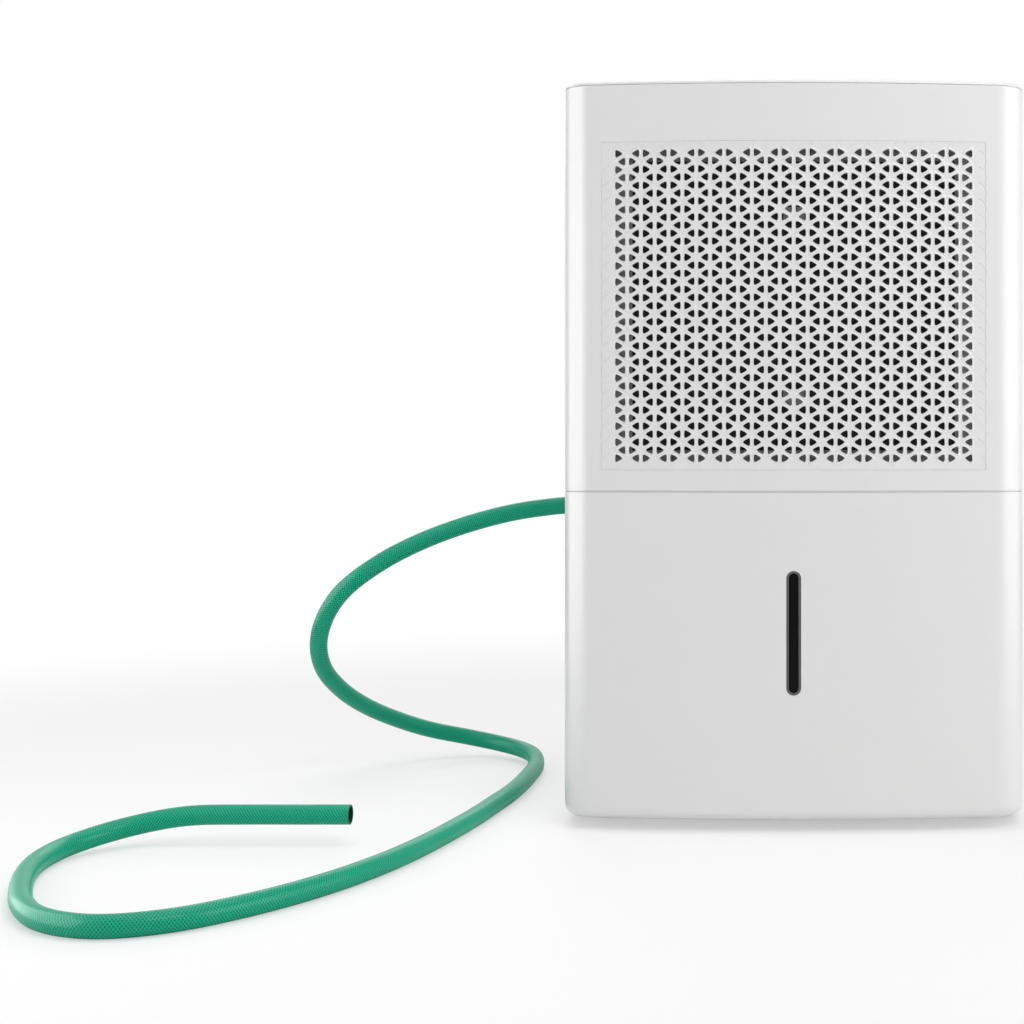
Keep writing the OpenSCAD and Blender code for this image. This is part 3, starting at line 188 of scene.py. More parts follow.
def mouldedPlastic(name, color, roughness, grainScale=1500.0, grain=0.10, coat=0.0, mottle=0.03, ior=1.5):
    # moulded plastic: a fine spark-eroded grain, slow changes of tone, and slightly uneven gloss
    material, tree, shader = newFinish(name, Roughness=roughness, Coat_Weight=coat,
                                       Coat_Roughness=0.24, IOR=ior)
    place = objectPlace(tree)
    tone = noise(tree, place, scale=5.0, detail=3.0)
    plug(tree, shader, "Base Color", mixColor(tree, tone, color, tuple(c * (1 - mottle) for c in color)))
    gloss = noise(tree, place, scale=22.0, detail=4.0, roughness=0.6)
    plug(tree, shader, "Roughness", roughness + (gloss - 0.5) * 0.10)
    bump(tree, shader, noise(tree, place, grainScale, roughness=0.6), strength=grain, distance=0.0002)
    return material


def brushedMetal(name, dark, light, roughness, axis):
    # sheet or turned metal: fine drawn lines along one way, with soft stains
    material, tree, shader = newFinish(name, Metallic=1.0, Roughness=roughness)
    place = objectPlace(tree)
    drawn = addNode(tree, "ShaderNodeVectorMath", {"operation": "MULTIPLY"}, {0: place, 1: axis})
    lines = noise(tree, drawn, scale=1.0, detail=3.0, roughness=0.6)
    stain = noise(tree, place, scale=18.0, detail=4.0, roughness=0.55)
    plug(tree, shader, "Base Color", mixColor(tree, lines * 0.5 + stain * 0.5, dark, light))
    plug(tree, shader, "Roughness", roughness + (stain - 0.5) * 0.18)
    bump(tree, shader, lines, strength=0.12, distance=0.0002)
    return material


def tarnishedCopper(name):
    material, tree, shader = newFinish(name, Metallic=1.0, Roughness=0.32)
    place = objectPlace(tree)
    stain = noise(tree, place, scale=60.0, detail=5.0, roughness=0.6)
    plug(tree, shader, "Base Color", addNode(tree, "ShaderNodeValToRGB", {"stops": [
        (0.3, (0.78, 0.38, 0.22)), (0.55, (0.62, 0.28, 0.16)), (0.75, (0.33, 0.16, 0.10))]}, {0: stain}))
    plug(tree, shader, "Roughness", 0.22 + stain * 0.3)
    return material


def paintedSteel(name, color, roughness=0.42):
    # stoved paint with a faint orange peel and dull patches
    material, tree, shader = newFinish(name, Roughness=roughness)
    place = objectPlace(tree)
    peel = noise(tree, place, scale=420.0)
    patch = noise(tree, place, scale=14.0, detail=4.0, roughness=0.6)
    dull = tuple(min(1.0, c * 1.5 + 0.01) for c in color)
    plug(tree, shader, "Base Color", mixColor(tree, patch, color, dull))
    plug(tree, shader, "Roughness", roughness + (patch - 0.5) * 0.25)
    bump(tree, shader, peel, strength=0.15, distance=0.0004)
    return material


def wovenNet(name, color, pitch=0.0011):
    # the filter's fine net: threads both ways, over and under
    material, tree, shader = newFinish(name, Roughness=0.75)
    place = objectPlace(tree)
    split = [addNode(tree, "ShaderNodeSeparateXYZ", None, {0: place}, k) for k in (0, 2)]
    threads = [wire.maths("SINE", wire * (math.pi / pitch)) for wire in split]
    ridges = [thread.maths("ABSOLUTE", thread) for thread in threads]
    net = ridges[0].maths("MAXIMUM", ridges[0], ridges[1])
    plug(tree, shader, "Base Color", mixColor(tree, net, tuple(c * 0.15 for c in color), color))
    bump(tree, shader, net, strength=0.6, distance=0.0003)
    return material


def clearTub(name):
    # translucent bluish moulding with a frosted inside
    material, tree, shader = newFinish(name, Base_Color=(0.80, 0.87, 0.92), Roughness=0.22,
                                       Transmission_Weight=0.65, IOR=1.35)
    place = objectPlace(tree)
    frost = noise(tree, place, scale=30.0, detail=4.0, roughness=0.6)
    plug(tree, shader, "Base Color", mixColor(tree, frost, (0.80, 0.88, 0.93), (0.72, 0.82, 0.89)))
    plug(tree, shader, "Roughness", 0.16 + frost * 0.18)
    bump(tree, shader, noise(tree, place, scale=900.0), strength=0.08, distance=0.0002)
    return material


def circuitBoard(name):
    # solder mask with straight copper tracks under it
    material, tree, shader = newFinish(name, Roughness=0.35, Coat_Weight=0.4)
    place = objectPlace(tree)
    tracks = addNode(tree, "ShaderNodeTexBrick", {"offset": 0.5}, {
        "Vector": place, "Color1": (0.01, 0.09, 0.03, 1), "Color2": (0.015, 0.12, 0.04, 1),
        "Mortar": (0.05, 0.25, 0.09, 1), "Mortar Size": 0.06, "Scale": 110.0,
        "Brick Width": 0.9, "Row Height": 0.25})
    plug(tree, shader, "Base Color", tracks)
    return material


braid = {
    "wallColor": (0.001, 0.045, 0.030),     # the tube seen between the threads
    "threadColor": (0.003, 0.355, 0.200),   # the knitted threads under the clear skin
    "crossColor": (0.009, 0.470, 0.285),    # where two threads lie over each other
    "starts": 15.0,                         # threads each way round the tube
    "lead": 0.0345,                         # length along the hose in which a thread goes round once
    "threadShare": 0.62,
    "blur": 0.16,                           # softness of a thread's sides
    "wornColor": (0.002, 0.190, 0.105),     # what the threads fade to in patches
}


def braidedHose(name):
    material, tree, shader = newFinish(name, Roughness=0.38, Coat_Weight=0.15, Coat_Roughness=0.08, IOR=1.33,
                                       Specular_IOR_Level=0.2)
    place = addNode(tree, "ShaderNodeUVMap", {"uv_map": "along"})
    along, around = [addNode(tree, "ShaderNodeSeparateXYZ", None, {0: place}, k) for k in (0, 1)]
    turn = along * (braid["starts"] / braid["lead"])
    gap = 1 - braid["threadShare"]
    masks = []
    for side in (1.0, -1.0):
        phase = turn + around * (side * braid["starts"])
        fraction = phase.maths("FRACT", phase)
        distance = (fraction - 0.5) * 2.0
        height = 1.0 - distance.maths("ABSOLUTE", distance)
        masks.append(addNode(tree, "ShaderNodeMapRange", {"interpolation_type": "SMOOTHSTEP"}, {
            0: height, 1: gap - braid["blur"], 2: gap + braid["blur"]}))
    either = masks[0].maths("MAXIMUM", masks[0], masks[1])
    both = masks[0] * masks[1]
    shade = noise(tree, objectPlace(tree), scale=9.0, detail=3.0)
    threads = mixColor(tree, both, braid["threadColor"], braid["crossColor"])
    worn = mixColor(tree, shade * 0.25, threads, braid["wornColor"])
    plug(tree, shader, "Base Color", mixColor(tree, either, braid["wallColor"], worn))
    bump(tree, shader, either + both * 0.4, strength=0.25, distance=0.0004)
    return material


shellWhite = (0.76, 0.76, 0.757)

finishes = {
    # plastic: colour, roughness, grain scale, grain, coat, mottle, ior; metal: dark, light, roughness, axis
    "white_shell": mouldedPlastic("white shell", shellWhite, 0.34, 1500.0, 0.05, 0.25, 0.012),
    "white_inner": mouldedPlastic("white inner", (0.76, 0.76, 0.75), 0.45, 1100.0, 0.10, 0.0, 0.03),
    "grille_white": mouldedPlastic("grille white", shellWhite, 0.34, 1500.0, 0.03, 0.25, 0.012),
    "bezel_grey": mouldedPlastic("bezel grey", (0.075, 0.076, 0.080), 0.38, 1300.0, 0.12),
    "lens_black": mouldedPlastic("lens black", (0.003, 0.003, 0.004), 0.16, 300.0, 0.01, 0.0, 0.1, 1.2),
    "tub_clear": clearTub("clear tub"),
    "filter_grey": mouldedPlastic("filter grey", (0.48, 0.48, 0.485), 0.5, 900.0, 0.12),
    "filter_net": wovenNet("filter net", (0.035, 0.035, 0.037)),
    "coil_metal": brushedMetal("coil fins", (0.50, 0.51, 0.53), (0.80, 0.81, 0.83), 0.32,
                               (2600.0, 40.0, 40.0)),
    "bracket_steel": brushedMetal("zinc sheet", (0.48, 0.49, 0.50), (0.72, 0.73, 0.75), 0.38,
                                  (60.0, 60.0, 900.0)),
    "motor_metal": paintedSteel("motor paint", (0.12, 0.125, 0.13)),
    "shaft_steel": brushedMetal("turned steel", (0.42, 0.43, 0.45), (0.68, 0.69, 0.71), 0.25,
                                (900.0, 60.0, 900.0)),
    "copper_line": tarnishedCopper("copper"),
    "compressor_black": paintedSteel("compressor paint", (0.012, 0.012, 0.013)),
    "rubber_black": mouldedPlastic("rubber", (0.018, 0.018, 0.019), 0.72, 700.0, 0.25),
    "black_plastic": mouldedPlastic("black plastic", (0.022, 0.022, 0.024), 0.42, 1200.0, 0.18),
    "board_green": circuitBoard("circuit board"),
    "button_white": mouldedPlastic("button white", (0.80, 0.80, 0.80), 0.22, 1500.0, 0.02, 0.6),
    "control_dark": mouldedPlastic("control plate", (0.020, 0.021, 0.023), 0.16, 800.0, 0.02, 0.8),
    "screw_steel": brushedMetal("screw zinc", (0.40, 0.40, 0.40), (0.66, 0.66, 0.64), 0.35,
                                (700.0, 40.0, 700.0)),
    "caster_black": mouldedPlastic("caster nylon", (0.024, 0.024, 0.026), 0.48, 900.0, 0.2),
    "wheel_grey": mouldedPlastic("wheel tread", (0.060, 0.060, 0.062), 0.62, 600.0, 0.3, 0.0, 0.25),
    "hose_green": braidedHose("braided hose"),
}
print("finishes made:", len(finishes))


ambient = 0.20      # the world's own light, where nothing looks straight at it


def addWorld():
    # plain white to the camera, in glosses and through clear plastic; dim to everything else
    world = bpy.data.worlds.new("studio")
    scene.world = world
    world.use_nodes = True
    tree = world.node_tree
    path = tree.nodes.new("ShaderNodeLightPath")
    seen = Wire(tree, path.outputs["Is Camera Ray"])
    glossy = Wire(tree, path.outputs["Is Glossy Ray"])
    through = Wire(tree, path.outputs["Is Transmission Ray"])
    background = tree.nodes["Background"]
    background.inputs["Color"].default_value = (1, 1, 1, 1)
    level = seen.maths("MAXIMUM", seen, through)
    level = level.maths("MAXIMUM", level, glossy)
    tree.links.new((level * (1 - ambient) + ambient).socket, background.inputs["Strength"])


addWorld()


weld = 2e-6     # metres within which corners become one
flat = 0.12     # degrees within which faces count as one flat


def makePiece(bm, name, slot, sharp=32.0, bevel=0.0):
    # a finished object from a bmesh: smooth faces, creases kept, and a small radius on every crease
    for face in bm.faces:
        face.smooth = True
    for edge in bm.edges:
        edge.smooth = edge.calc_face_angle(0.0) < math.radians(sharp)
    mesh = bpy.data.meshes.new(name)
    bm.to_mesh(mesh)
    bm.free()
    piece = bpy.data.objects.new(name, mesh)
    scene.collection.objects.link(piece)
    if slot:
        mesh.materials.append(finishes[slot])
    if bevel:
        rounding = piece.modifiers.new("rounding", "BEVEL")
        rounding.width, rounding.segments, rounding.limit_method = bevel, 2, "ANGLE"
        rounding.angle_limit, rounding.use_clamp_overlap = math.radians(sharp), True
        rounding.miter_outer = "MITER_ARC"
        rounding.harden_normals = False
    if bevel or slot:
        shading = piece.modifiers.new("shading", "WEIGHTED_NORMAL")
        shading.keep_sharp, shading.weight = True, 60
    return piece


def seat(piece, *nodes):
    # the piece stands for these nodes and moves with their body
    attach(piece, nodeBody[nodes[0]])
    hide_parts(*nodes)
    return piece


def plainName(node):
    first, *rest = node.split("_")
    return first + "".join(word.capitalize() for word in rest)


# flats with an opening in them, which a dissolve would close
ringed = ("side_cups", "filter_frame", "bucket_lid", "base_pan", "caster_sockets", "caster_fork_rl",
          "fan_shroud")


def dress(node, bevel):
    # a node's own form with every hard edge rounded and its faces shaded as the real moulding's
    bm = bmesh.new()
    bm.from_mesh(frame["nodes"][node].data)
    bmesh.ops.remove_doubles(bm, verts=bm.verts, dist=weld)
    if node not in ringed:
        bmesh.ops.dissolve_limit(bm, angle_limit=math.radians(flat), verts=bm.verts, edges=bm.edges)
    return seat(makePiece(bm, plainName(node), nodeSlot[node], bevel=bevel), node)


floorFade = (0.75, 1.60)    # metres from the middle over which the floor turns into plain white
floorGlow = (0.5, 1.0)      # share of plain white the camera sees in it, near and far
floorHalf = 6.0


def addFloor():
    # takes the shadows near the object and turns into plain white farther off
    bm = bmesh.new()
    bmesh.ops.create_grid(bm, x_segments=1, y_segments=1, size=floorHalf)
    floor = makePiece(bm, "floor", None)
    material, tree, shader = newFinish("floor white", Base_Color=(0.93, 0.93, 0.93), Roughness=0.7)
    place = objectPlace(tree)
    tone = noise(tree, place, scale=3.0)
    plug(tree, shader, "Base Color", mixColor(tree, tone, (0.94, 0.94, 0.94), (0.92, 0.92, 0.92)))
    path = tree.nodes.new("ShaderNodeLightPath")
    glow = addNode(tree, "ShaderNodeEmission", None, {"Color": (1, 1, 1, 1), "Strength": 1.0})
    mix = tree.nodes.new("ShaderNodeMixShader")
    away = addNode(tree, "ShaderNodeVectorMath", {"operation": "LENGTH"}, {0: place}, 1)
    fade = addNode(tree, "ShaderNodeMapRange", {"interpolation_type": "SMOOTHSTEP"},
                   {0: away, 1: floorFade[0], 2: floorFade[1], 3: floorGlow[0], 4: floorGlow[1]})
    tree.links.new((Wire(tree, path.outputs["Is Camera Ray"]) * fade).socket, mix.inputs[0])
    tree.links.new(shader.outputs[0], mix.inputs[1])
    tree.links.new(glow.socket, mix.inputs[2])
    tree.links.new(mix.outputs[0], tree.nodes["Material Output"].inputs["Surface"])
    floor.data.materials.append(material)


addFloor()


hose = {
    "radius": 0.008,
    "bore": 0.00625,
    "tail": 0.030,          # the straight bare end past the last point of the route
    "length": 1.82,
    "step": 0.004,
    "sides": 28,
    "fine": 24,             # points drawn between two of the route before the even ones are picked
    "relaxed": 8,           # passes that ease the line's kinks
    "cutRadii": (0.0077, 0.0066),   # outer and inner edge of the cut's flat
    "cutProud": 0.0003,     # how far the flat stands past the line's end
    "cutMark": 0.0002,      # where the cut lies in the braid's own measure, past the end
    "boreShare": 0.9,       # depth of the bore as a share of the tail
    "route": [              # millimetres: out of the left side, down, round on the floor, up to the tail
        (-200, 60, 264), (-207, 60, 264), (-214, 60, 264), (-259, 58, 258), (-302, 50, 247), (-342, 35, 232),
        (-379, 20, 212), (-414, 15, 184), (-436, 30, 148), (-442, 59, 114), (-434, 94, 87), (-419, 131, 65),
        (-398, 166, 47), (-370, 198, 31), (-330, 214, 20), (-288, 203, 13), (-261, 167, 11), (-251, 123, 8.3),
        (-250, 78, 8), (-251, 33, 8), (-254, -12, 8), (-260, -57, 8), (-266, -102, 8), (-274, -147, 8),
        (-283, -191, 8), (-294, -235, 8), (-308, -278, 8), (-326, -320, 8), (-348, -359, 8), (-375, -395, 8),
        (-408, -426, 8), (-450, -440, 8), (-491, -424, 8), (-520, -389, 8), (-540, -348, 8), (-556, -305, 8),
        (-565, -261, 8), (-560, -217, 9.6), (-530, -184, 15.7), (-487, -175, 22.7), (-442, -175, 23.9),
        (-396, -175, 23.9), (-384.5, -175, 23.9)],
}


def hoseLine():
    # the route as one smooth line of evenly spaced points, with its kinks relaxed
    points = [Vector(p) / 1000 for p in hose["route"]]
    points.append(points[-1] + (points[-1] - points[-2]).normalized() * hose["tail"])
    ends = [2 * points[0] - points[1]] + points + [2 * points[-1] - points[-2]]
    dense = []
    for a, b, c, d in zip(ends, ends[1:], ends[2:], ends[3:]):
        for k in range(hose["fine"]):
            t = k / hose["fine"]
            dense.append(0.5 * (2 * b + (c - a) * t + (2 * a - 5 * b + 4 * c - d) * t * t
                                + (3 * b - a - 3 * c + d) * t * t * t))
    dense.append(points[-1])
    length = sum((q - p).length for p, q in zip(dense, dense[1:]))
    count = round(length / hose["step"])
    line, walked, due = [dense[0]], 0.0, length / count
    for p, q in zip(dense, dense[1:]):
        span = (q - p).length
        while walked + span >= due and len(line) < count:
            line.append(p.lerp(q, (due - walked) / span))
            due += length / count
        walked += span
    line.append(dense[-1])
    for _ in range(hose["relaxed"]):
        eased = [p.lerp((o + q) / 2, 0.5) for o, p, q in zip(line[1:], line[2:-2], line[3:])]
        line = line[:2] + eased + line[-2:]
    return line


def makeHose():
    line = hoseLine()
    bm = bmesh.new()
    uv = bm.loops.layers.uv.new("along")
    sides = hose["sides"]
    across = Vector((0, 1, 0))
    rings, walked, marks = [], 0.0, []
    for k, point in enumerate(line):
        ahead = (line[min(k + 1, len(line) - 1)] - line[max(k - 1, 0)]).normalized()
        across = (across - across.dot(ahead) * ahead).normalized()
        up = ahead.cross(across)
        if k:
            walked += (point - line[k - 1]).length
        marks.append(walked)
        rings.append([bm.verts.new(point + hose["radius"] * (math.cos(a) * across + math.sin(a) * up))
                      for a in (math.tau * s / sides for s in range(sides))])
    for k, (low, high) in enumerate(zip(rings, rings[1:])):
        for s in range(sides):
            n = (s + 1) % sides
            face = bm.faces.new((low[s], low[n], high[n], high[s]))
            for loop, (u, v) in zip(face.loops, ((k, s), (k, s + 1), (k + 1, s + 1), (k + 1, s))):
                loop[uv].uv = (marks[u], v / sides)
    # the bare cut: a flat wall, then the bore
    centre, proud = line[-1], line[-1] + ahead * hose["cutProud"]
    deep = line[-1] - ahead * hose["tail"] * hose["boreShare"]
    outside, inside = hose["cutRadii"]
    edges = [e for e in bm.edges if e.is_boundary and all(v in rings[-1] for v in e.verts)]
    for radius, middle in ((outside, proud), (inside, proud), (hose["bore"], centre), (hose["bore"], deep)):
        made = bmesh.ops.extrude_edge_only(bm, edges=edges)["geom"]
        for vert in (v for v in made if isinstance(v, bmesh.types.BMVert)):
            arm = vert.co - centre
            arm -= arm.dot(ahead) * ahead
            vert.co = middle + arm.normalized() * radius
        edges = [e for e in made if isinstance(e, bmesh.types.BMEdge) and e.is_boundary]
        for face in {f for e in edges for f in e.link_faces}:
            for corner in face.loops:
                corner[uv].uv = (marks[-1] + hose["cutMark"], 0.0)
    bmesh.ops.contextual_create(bm, geom=edges)
    start = [e for e in bm.edges if e.is_boundary]
    bmesh.ops.contextual_create(bm, geom=start)
    bmesh.ops.recalc_face_normals(bm, faces=bm.faces)
    piece = makePiece(bm, "drainHose", "hose_green", sharp=50.0)
    seat(piece, "drain_hose", "hose_tail")
    coupling = dress("hose_coupling", 0.0005)
    length = sum((q - p).length for p, q in zip(line, line[1:]))
    print("hose made, metres:", round(length, 3))


makeHose()


grille = {
    "bowRadius": 1.400,
    "side": 0.01322,        # lattice triangle, from bar centre to bar centre
    "bar": 0.0033,
    "columns": 26,
    "rows": 39,
    "cornerRadius": 0.0009,
    "cornerTurns": (-50, 0, 50),    # degrees at which a corner's round is drawn
    "bulge": 0.0002,        # how far a hole's sides bow outwards
    "thick": 0.0025,
    "groove": 0.00028,      # the bar's middle lies this far behind its rims
    "grooveAt": 0.00125,    # from the hole's wall to the groove
    "flatFrom": 0.000765,   # the rim's flat begins here and ends where the lip's rounding begins
    "lipIn": 0.00022,
    "lipDrop": 0.00035,
    "borderX": 0.0096,      # from the outer columns' edge
    "borderZ": 0.0095,      # from the outer rows' centres
    "rise": 0.017,          # the lower edge above the front panel's
}

# scallops: ridges that fade the lattice out into the plain border; arcs in degrees about a crossing
scallop = {
    "radius": 0.0106,
    "left": (112, 200),
    "right": (-20, 68),
    "crest": (158, 110),
    "trough": (202, 250),
    "steps": 6,
    "width": 0.0008,
    "height": 0.00032,
    "faint": 0.0001,        # height of those along the lower edge
    "root": 0.0004,         # how deep a ridge is sunk in the panel
    "crown": 0.22,          # half the share of the width that is its top
    "tickX": 0.0008,        # the short upright ridge over each crest
    "tickZ": (0.0068, 0.0080, 0.0091),
}

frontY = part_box("front_panel")[0].y


def bowDepth(x):
    # the front's y at x, before any relief
    return frontY + grille["bowRadius"] - math.sqrt(grille["bowRadius"] ** 2 - x * x)


def holeOutline():
    # a hole that points along +x, drawn about its centre
    corner = grille["side"] / math.sqrt(3) - grille["bar"]
    r = grille["cornerRadius"]
    points = []
    for k in range(3):
        a = math.tau * k / 3
        middle = Vector((math.cos(a), 0, math.sin(a))) * (corner - 2 * r)
        for turn in grille["cornerTurns"]:
            b = a + math.radians(turn)
            points.append(middle + r * Vector((math.cos(b), 0, math.sin(b))))
        b = a + math.tau / 6
        points.append(Vector((math.cos(b), 0, math.sin(b))) * (corner / 2 + grille["bulge"]))
    return points


def latticeCell(pointsRight):
    # one triangle of the lattice about its centre: groove, rim, rounded lip, wall and back
    bm = bmesh.new()
    inradius = (grille["side"] / math.sqrt(3) - grille["bar"]) / 2
    reach = grille["side"] / math.sqrt(3)
    profile = [(grille["grooveAt"], grille["groove"]), (grille["flatFrom"], 0.0), (grille["lipIn"], 0.0),
               (0.0, grille["lipDrop"]), (0.0, grille["thick"])]
    outline = [bm.verts.new(p) for p in holeOutline()]
    edges = [bm.edges.new((p, q)) for p, q in zip(outline, outline[1:] + outline[:1])]
    base = [v.co.copy() for v in outline]

    def place(verts, offset, depth):
        for vert, co in zip(verts, base):
            vert.co = co * (1 + offset / inradius) + Vector((0, depth, 0))

    def corners(depth, ring):
        tips = [bm.verts.new((reach * math.cos(math.tau * k / 3), depth, reach * math.sin(math.tau * k / 3)))
                for k in range(3)]
        sides = [bm.edges.new((tips[k], tips[k - 1])) for k in range(3)]
        bmesh.ops.triangle_fill(bm, edges=sides + ring, use_beauty=True)

    place(outline, *profile[0])
    corners(grille["groove"], edges)
    ring = edges
    for offset, depth in profile[1:]:
        made = bmesh.ops.extrude_edge_only(bm, edges=ring)["geom"]
        verts = [v for v in made if isinstance(v, bmesh.types.BMVert)]
        place(verts, offset, depth)
        ring = [e for e in made if isinstance(e, bmesh.types.BMEdge) and len(e.link_faces) == 1]
    corners(grille["thick"], ring)
    if not pointsRight:
        bmesh.ops.transform(bm, matrix=Matrix.Rotation(math.pi, 4, "Y"), verts=bm.verts)
    mesh = bpy.data.meshes.new("cell")
    bm.to_mesh(mesh)
    bm.free()
    return mesh


def addCopy(bm, mesh, x, z):
    before = len(bm.verts)
    bm.from_mesh(mesh)
    bm.verts.ensure_lookup_table()
    bmesh.ops.translate(bm, verts=bm.verts[before:], vec=(x, 0, z))


def addBead(bm, points, height=scallop["height"]):
    # a low rounded ridge along points on the grille's plane
    root, crown = scallop["root"], scallop["crown"]
    section = ((-0.5, root), (-0.5, 0.0), (-crown, -height), (crown, -height), (0.5, 0.0), (0.5, root))
    rings = []
    for k, p in enumerate(points):
        ahead = (points[min(k + 1, len(points) - 1)] - points[max(k - 1, 0)]).normalized()
        side = Vector((-ahead.z, 0, ahead.x))
        rings.append([bm.verts.new(p + side * (scallop["width"] * s) + Vector((0, d, 0)))
                      for s, d in section])
    count = len(section)
    for low, high in zip(rings, rings[1:]):
        for s in range(count):
            n = (s + 1) % count
            bm.faces.new((low[s], low[n], high[n], high[s]))
    bm.faces.new(rings[0])
    bm.faces.new(rings[-1])


def arc(cx, cz, start, end, steps=8):
    turns = [math.radians(start + (end - start) * k / steps) for k in range(steps + 1)]
    r = scallop["radius"]
    return [Vector((cx + r * math.cos(a), 0, cz + r * math.sin(a))) for a in turns]


def makeGrille():
    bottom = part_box("front_panel")[0].z + grille["rise"]
    pitchX, pitchZ = grille["side"] * math.sqrt(3) / 2, grille["side"] / 2
    half = grille["columns"] * pitchX / 2
    outer = half + grille["borderX"]
    top = bottom + (grille["rows"] - 1) * pitchZ + 2 * grille["borderZ"]
    firstRow = top - grille["borderZ"]
    right, left = latticeCell(True), latticeCell(False)
    rows = []
    for r in range(grille["rows"]):
        bm = bmesh.new()
        for c in range(grille["columns"]):
            pointsRight = (r + c) % 2 == 0
            x = -half + c * pitchX + (pitchX / 3 if pointsRight else 2 * pitchX / 3)
            addCopy(bm, right if pointsRight else left, x, firstRow - r * pitchZ)
        mesh = bpy.data.meshes.new("row")
        bm.to_mesh(mesh)
        bm.free()
        rows.append(mesh)
    bm = bmesh.new()
    for mesh in rows:
        bm.from_mesh(mesh)
    # the plain border round the lattice, at the depth of the bars' grooves and back
    lastRow = firstRow - (grille["rows"] - 1) * pitchZ

    def zig(c, z, up):
        # where the lattice's jagged edge lies at the side of column c
        return z + (pitchZ if c % 2 == 0 else 0) * up

    for depth, out in ((0.0, -1), (grille["thick"], 1)):
        edgeDepth = grille["groove"] if depth == 0.0 else depth

        def wall(points):
            verts = [bm.verts.new(p) for p in points]
            bm.faces.new(verts if out < 0 else verts[::-1])

        for c in range(grille["columns"]):
            x0, x1 = -half + c * pitchX, -half + (c + 1) * pitchX
            za, zb = zig(c, firstRow, 1), zig(c + 1, firstRow, 1)
            wall([(x0, edgeDepth, za), (x1, edgeDepth, zb), (x1, depth, top), (x0, depth, top)])
            za, zb = zig(c, lastRow, -1), zig(c + 1, lastRow, -1)
            wall([(x1, edgeDepth, zb), (x0, edgeDepth, za), (x0, depth, bottom), (x1, depth, bottom)])
        for side in (-1, 1):
            inner, edge = side * half, side * outer
            zs = [zig(0, firstRow, 1) - k * grille["side"] for k in range(grille["rows"] // 2 + 2)]
            zs = [top] + zs + [bottom]
            for za, zb in zip(zs, zs[1:]):
                da = depth if za == top else edgeDepth
                db = depth if zb == bottom else edgeDepth
                quad = [(edge, depth, za), (edge, depth, zb), (inner, db, zb), (inner, da, za)]
                wall(quad if side < 0 else quad[::-1])
    bmesh.ops.remove_doubles(bm, verts=bm.verts, dist=weld)
    rim = [e for e in bm.edges if e.is_boundary]
    bmesh.ops.bridge_loops(bm, edges=rim)
    for k in range(grille["rows"] // 2 + 1):
        z = firstRow - pitchZ - k * grille["side"]
        addBead(bm, arc(-half, z, *scallop["left"]))
        addBead(bm, arc(half, z, *scallop["right"]))
    for c in range(1, grille["columns"], 2):
        x = -half + c * pitchX
        addBead(bm, arc(x, firstRow, *scallop["crest"], scallop["steps"]))
        addBead(bm, [Vector((x + scallop["tickX"], 0, firstRow + d)) for d in scallop["tickZ"]])
        addBead(bm, arc(x, lastRow, *scallop["trough"], scallop["steps"]), scallop["faint"])
    for vert in bm.verts:
        vert.co.y += bowDepth(vert.co.x)
    bmesh.ops.recalc_face_normals(bm, faces=bm.faces)
    piece = seat(makePiece(bm, "intakeGrille", "grille_white", sharp=40.0), "intake_grille")
    print("grille made, faces:", len(piece.data.polygons))


makeGrille()


# the lip that closes the seam between the front panel and the bucket
seamLip = {
    "inset": 0.0007,        # how far it lies behind the mouldings' faces
    "thick": 0.0010,
    "rise": 0.0012,         # how far it reaches up into the panel's wall
    "gap": 0.0003,          # air between it and the bucket
    "cornerRadius": 0.028,
    "sideRun": 0.010,
    "cornerSteps": 10,
    "bowSteps": 16,
}


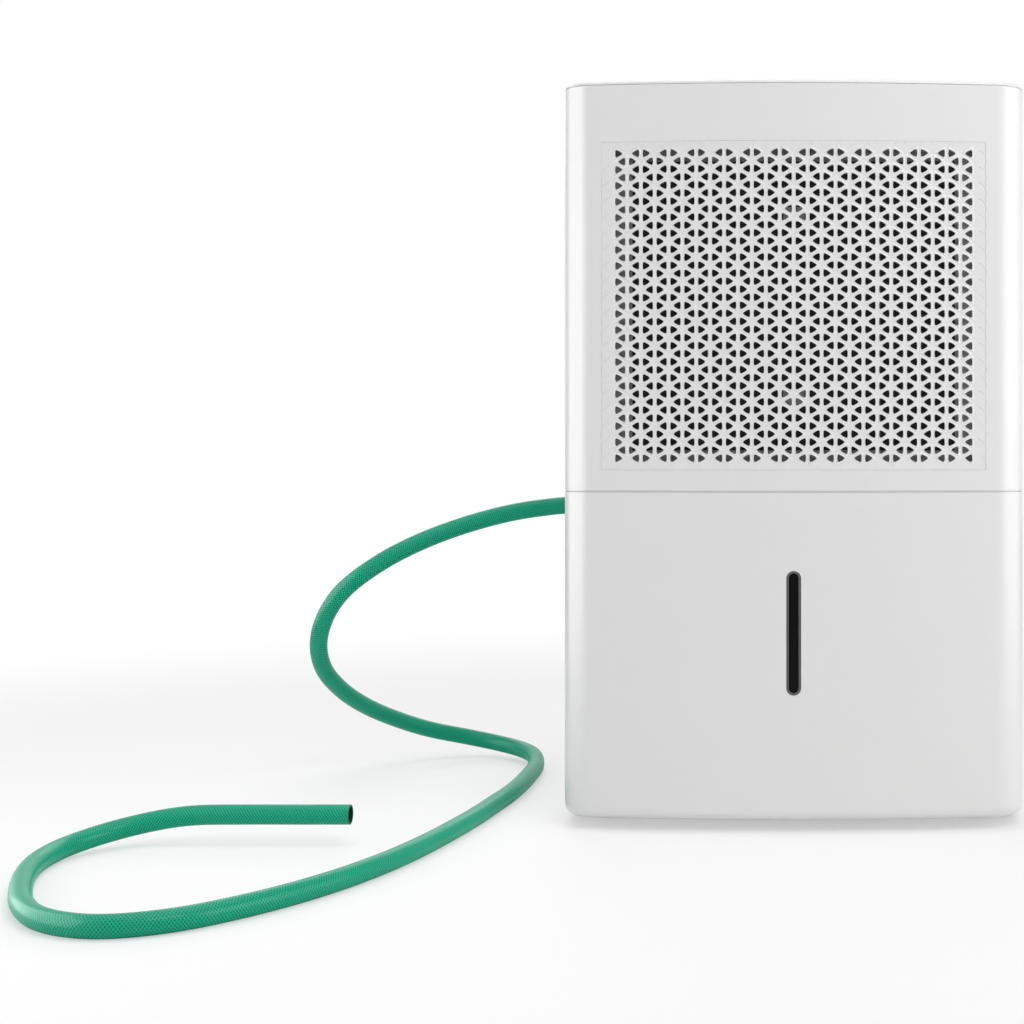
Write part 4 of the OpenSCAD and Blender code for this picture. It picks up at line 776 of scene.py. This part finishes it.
def makeSeamLip():
    low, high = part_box("front_panel")
    bow, corner, inset = grille["bowRadius"], seamLip["cornerRadius"], seamLip["inset"]
    bowY = low.y + bow
    cornerX = high.x - corner
    cornerY = bowY - math.sqrt((bow - corner) ** 2 - cornerX ** 2)
    meet = math.atan2(cornerY - bowY, cornerX)      # where the corner's arc runs into the bow
    half = [(high.x - inset, cornerY + seamLip["sideRun"])]
    steps = seamLip["cornerSteps"]
    for a in (meet * k / steps for k in range(steps + 1)):
        half.append((cornerX + (corner - inset) * math.cos(a), cornerY + (corner - inset) * math.sin(a)))
    steps = seamLip["bowSteps"]
    for a in (meet + (-math.pi / 2 - meet) * k / steps for k in range(1, steps + 1)):
        half.append(((bow - inset) * math.cos(a), bowY + (bow - inset) * math.sin(a)))
    plan = half + [(-x, y) for x, y in half[-2::-1]]
    bm = bmesh.new()
    verts = [bm.verts.new((x, y, low.z + seamLip["rise"])) for x, y in plan]
    line = [bm.edges.new(pair) for pair in zip(verts, verts[1:])]
    made = bmesh.ops.extrude_edge_only(bm, edges=line)["geom"]
    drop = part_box("bucket_front")[1].z + seamLip["gap"] - low.z - seamLip["rise"]
    bmesh.ops.translate(bm, verts=[v for v in made if isinstance(v, bmesh.types.BMVert)], vec=(0, 0, drop))
    bmesh.ops.recalc_face_normals(bm, faces=bm.faces)
    ahead = sum((f.normal.y for f in bm.faces), 0.0)
    bmesh.ops.solidify(bm, geom=bm.faces[:], thickness=seamLip["thick"] if ahead < 0 else -seamLip["thick"])
    bmesh.ops.recalc_face_normals(bm, faces=bm.faces)
    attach(makePiece(bm, "seamLip", "white_shell", sharp=40.0), nodeBody["front_panel"])
    print("seam lip made")


makeSeamLip()


# the other pieces keep the nodes' forms; metres of radius on each one's hard edges
edgeRadii = {
    "front_panel": 0.0004, "bucket_front": 0.0005, "side_panels": 0.0005, "top_cover": 0.0002,
    "back_panel": 0.0004, "side_cups": 0.0007, "caster_sockets": 0.0005, "bucket_clips": 0.0003,
    "outlet_grille": 0.0005, "base_pan": 0.0006, "bucket_bay": 0.0004, "drain_deck": 0.0004,
    "control_plate": 0.0004, "display_lens": 0.0003, "window_bezel": 0.0004, "level_window": 0.0003,
    "bucket_tub": 0.0005, "bucket_lid": 0.0006, "filter_frame": 0.0005, "float_arm": 0.0006,
    "drain_port": 0.0004, "cord_gland": 0.0005, "fan_shroud": 0.0006, "motor_bracket": 0.0004,
    "fan_motor": 0.0008, "compressor": 0.0006, "compressor_cap": 0.0010, "compressor_mounts": 0.0008,
    "electrics_box": 0.0008, "run_capacitor": 0.0006, "reed_switch": 0.0005, "humidity_sensor": 0.0003,
    "case_screws": 0.0002, "float_magnet": 0.0003, "accumulator": 0.0004,
}
for first, rests, radius in (
        ("button_", ("power", "mode", "fan_speed", "humidity", "timer"), 0.0009),
        ("caster_fork_", ("fl", "fr", "rl", "rr"), 0.0004),
        ("caster_wheel_", ("fl", "fr", "rl", "rr"), 0.0004)):
    edgeRadii.update({first + rest: radius for rest in rests})
fine = ("evaporator_coil", "condenser_coil", "fan_blades", "fan_shaft", "refrigerant_lines", "drain_pipe",
        "control_board", "filter_mesh")     # too fine, or too plain, for a radius
for node, radius in edgeRadii.items():
    dress(node, radius)
for node in fine:
    dress(node, 0.0)
print("pieces dressed:", len(edgeRadii) + len(fine))


scene.view_settings.view_transform = "Standard"
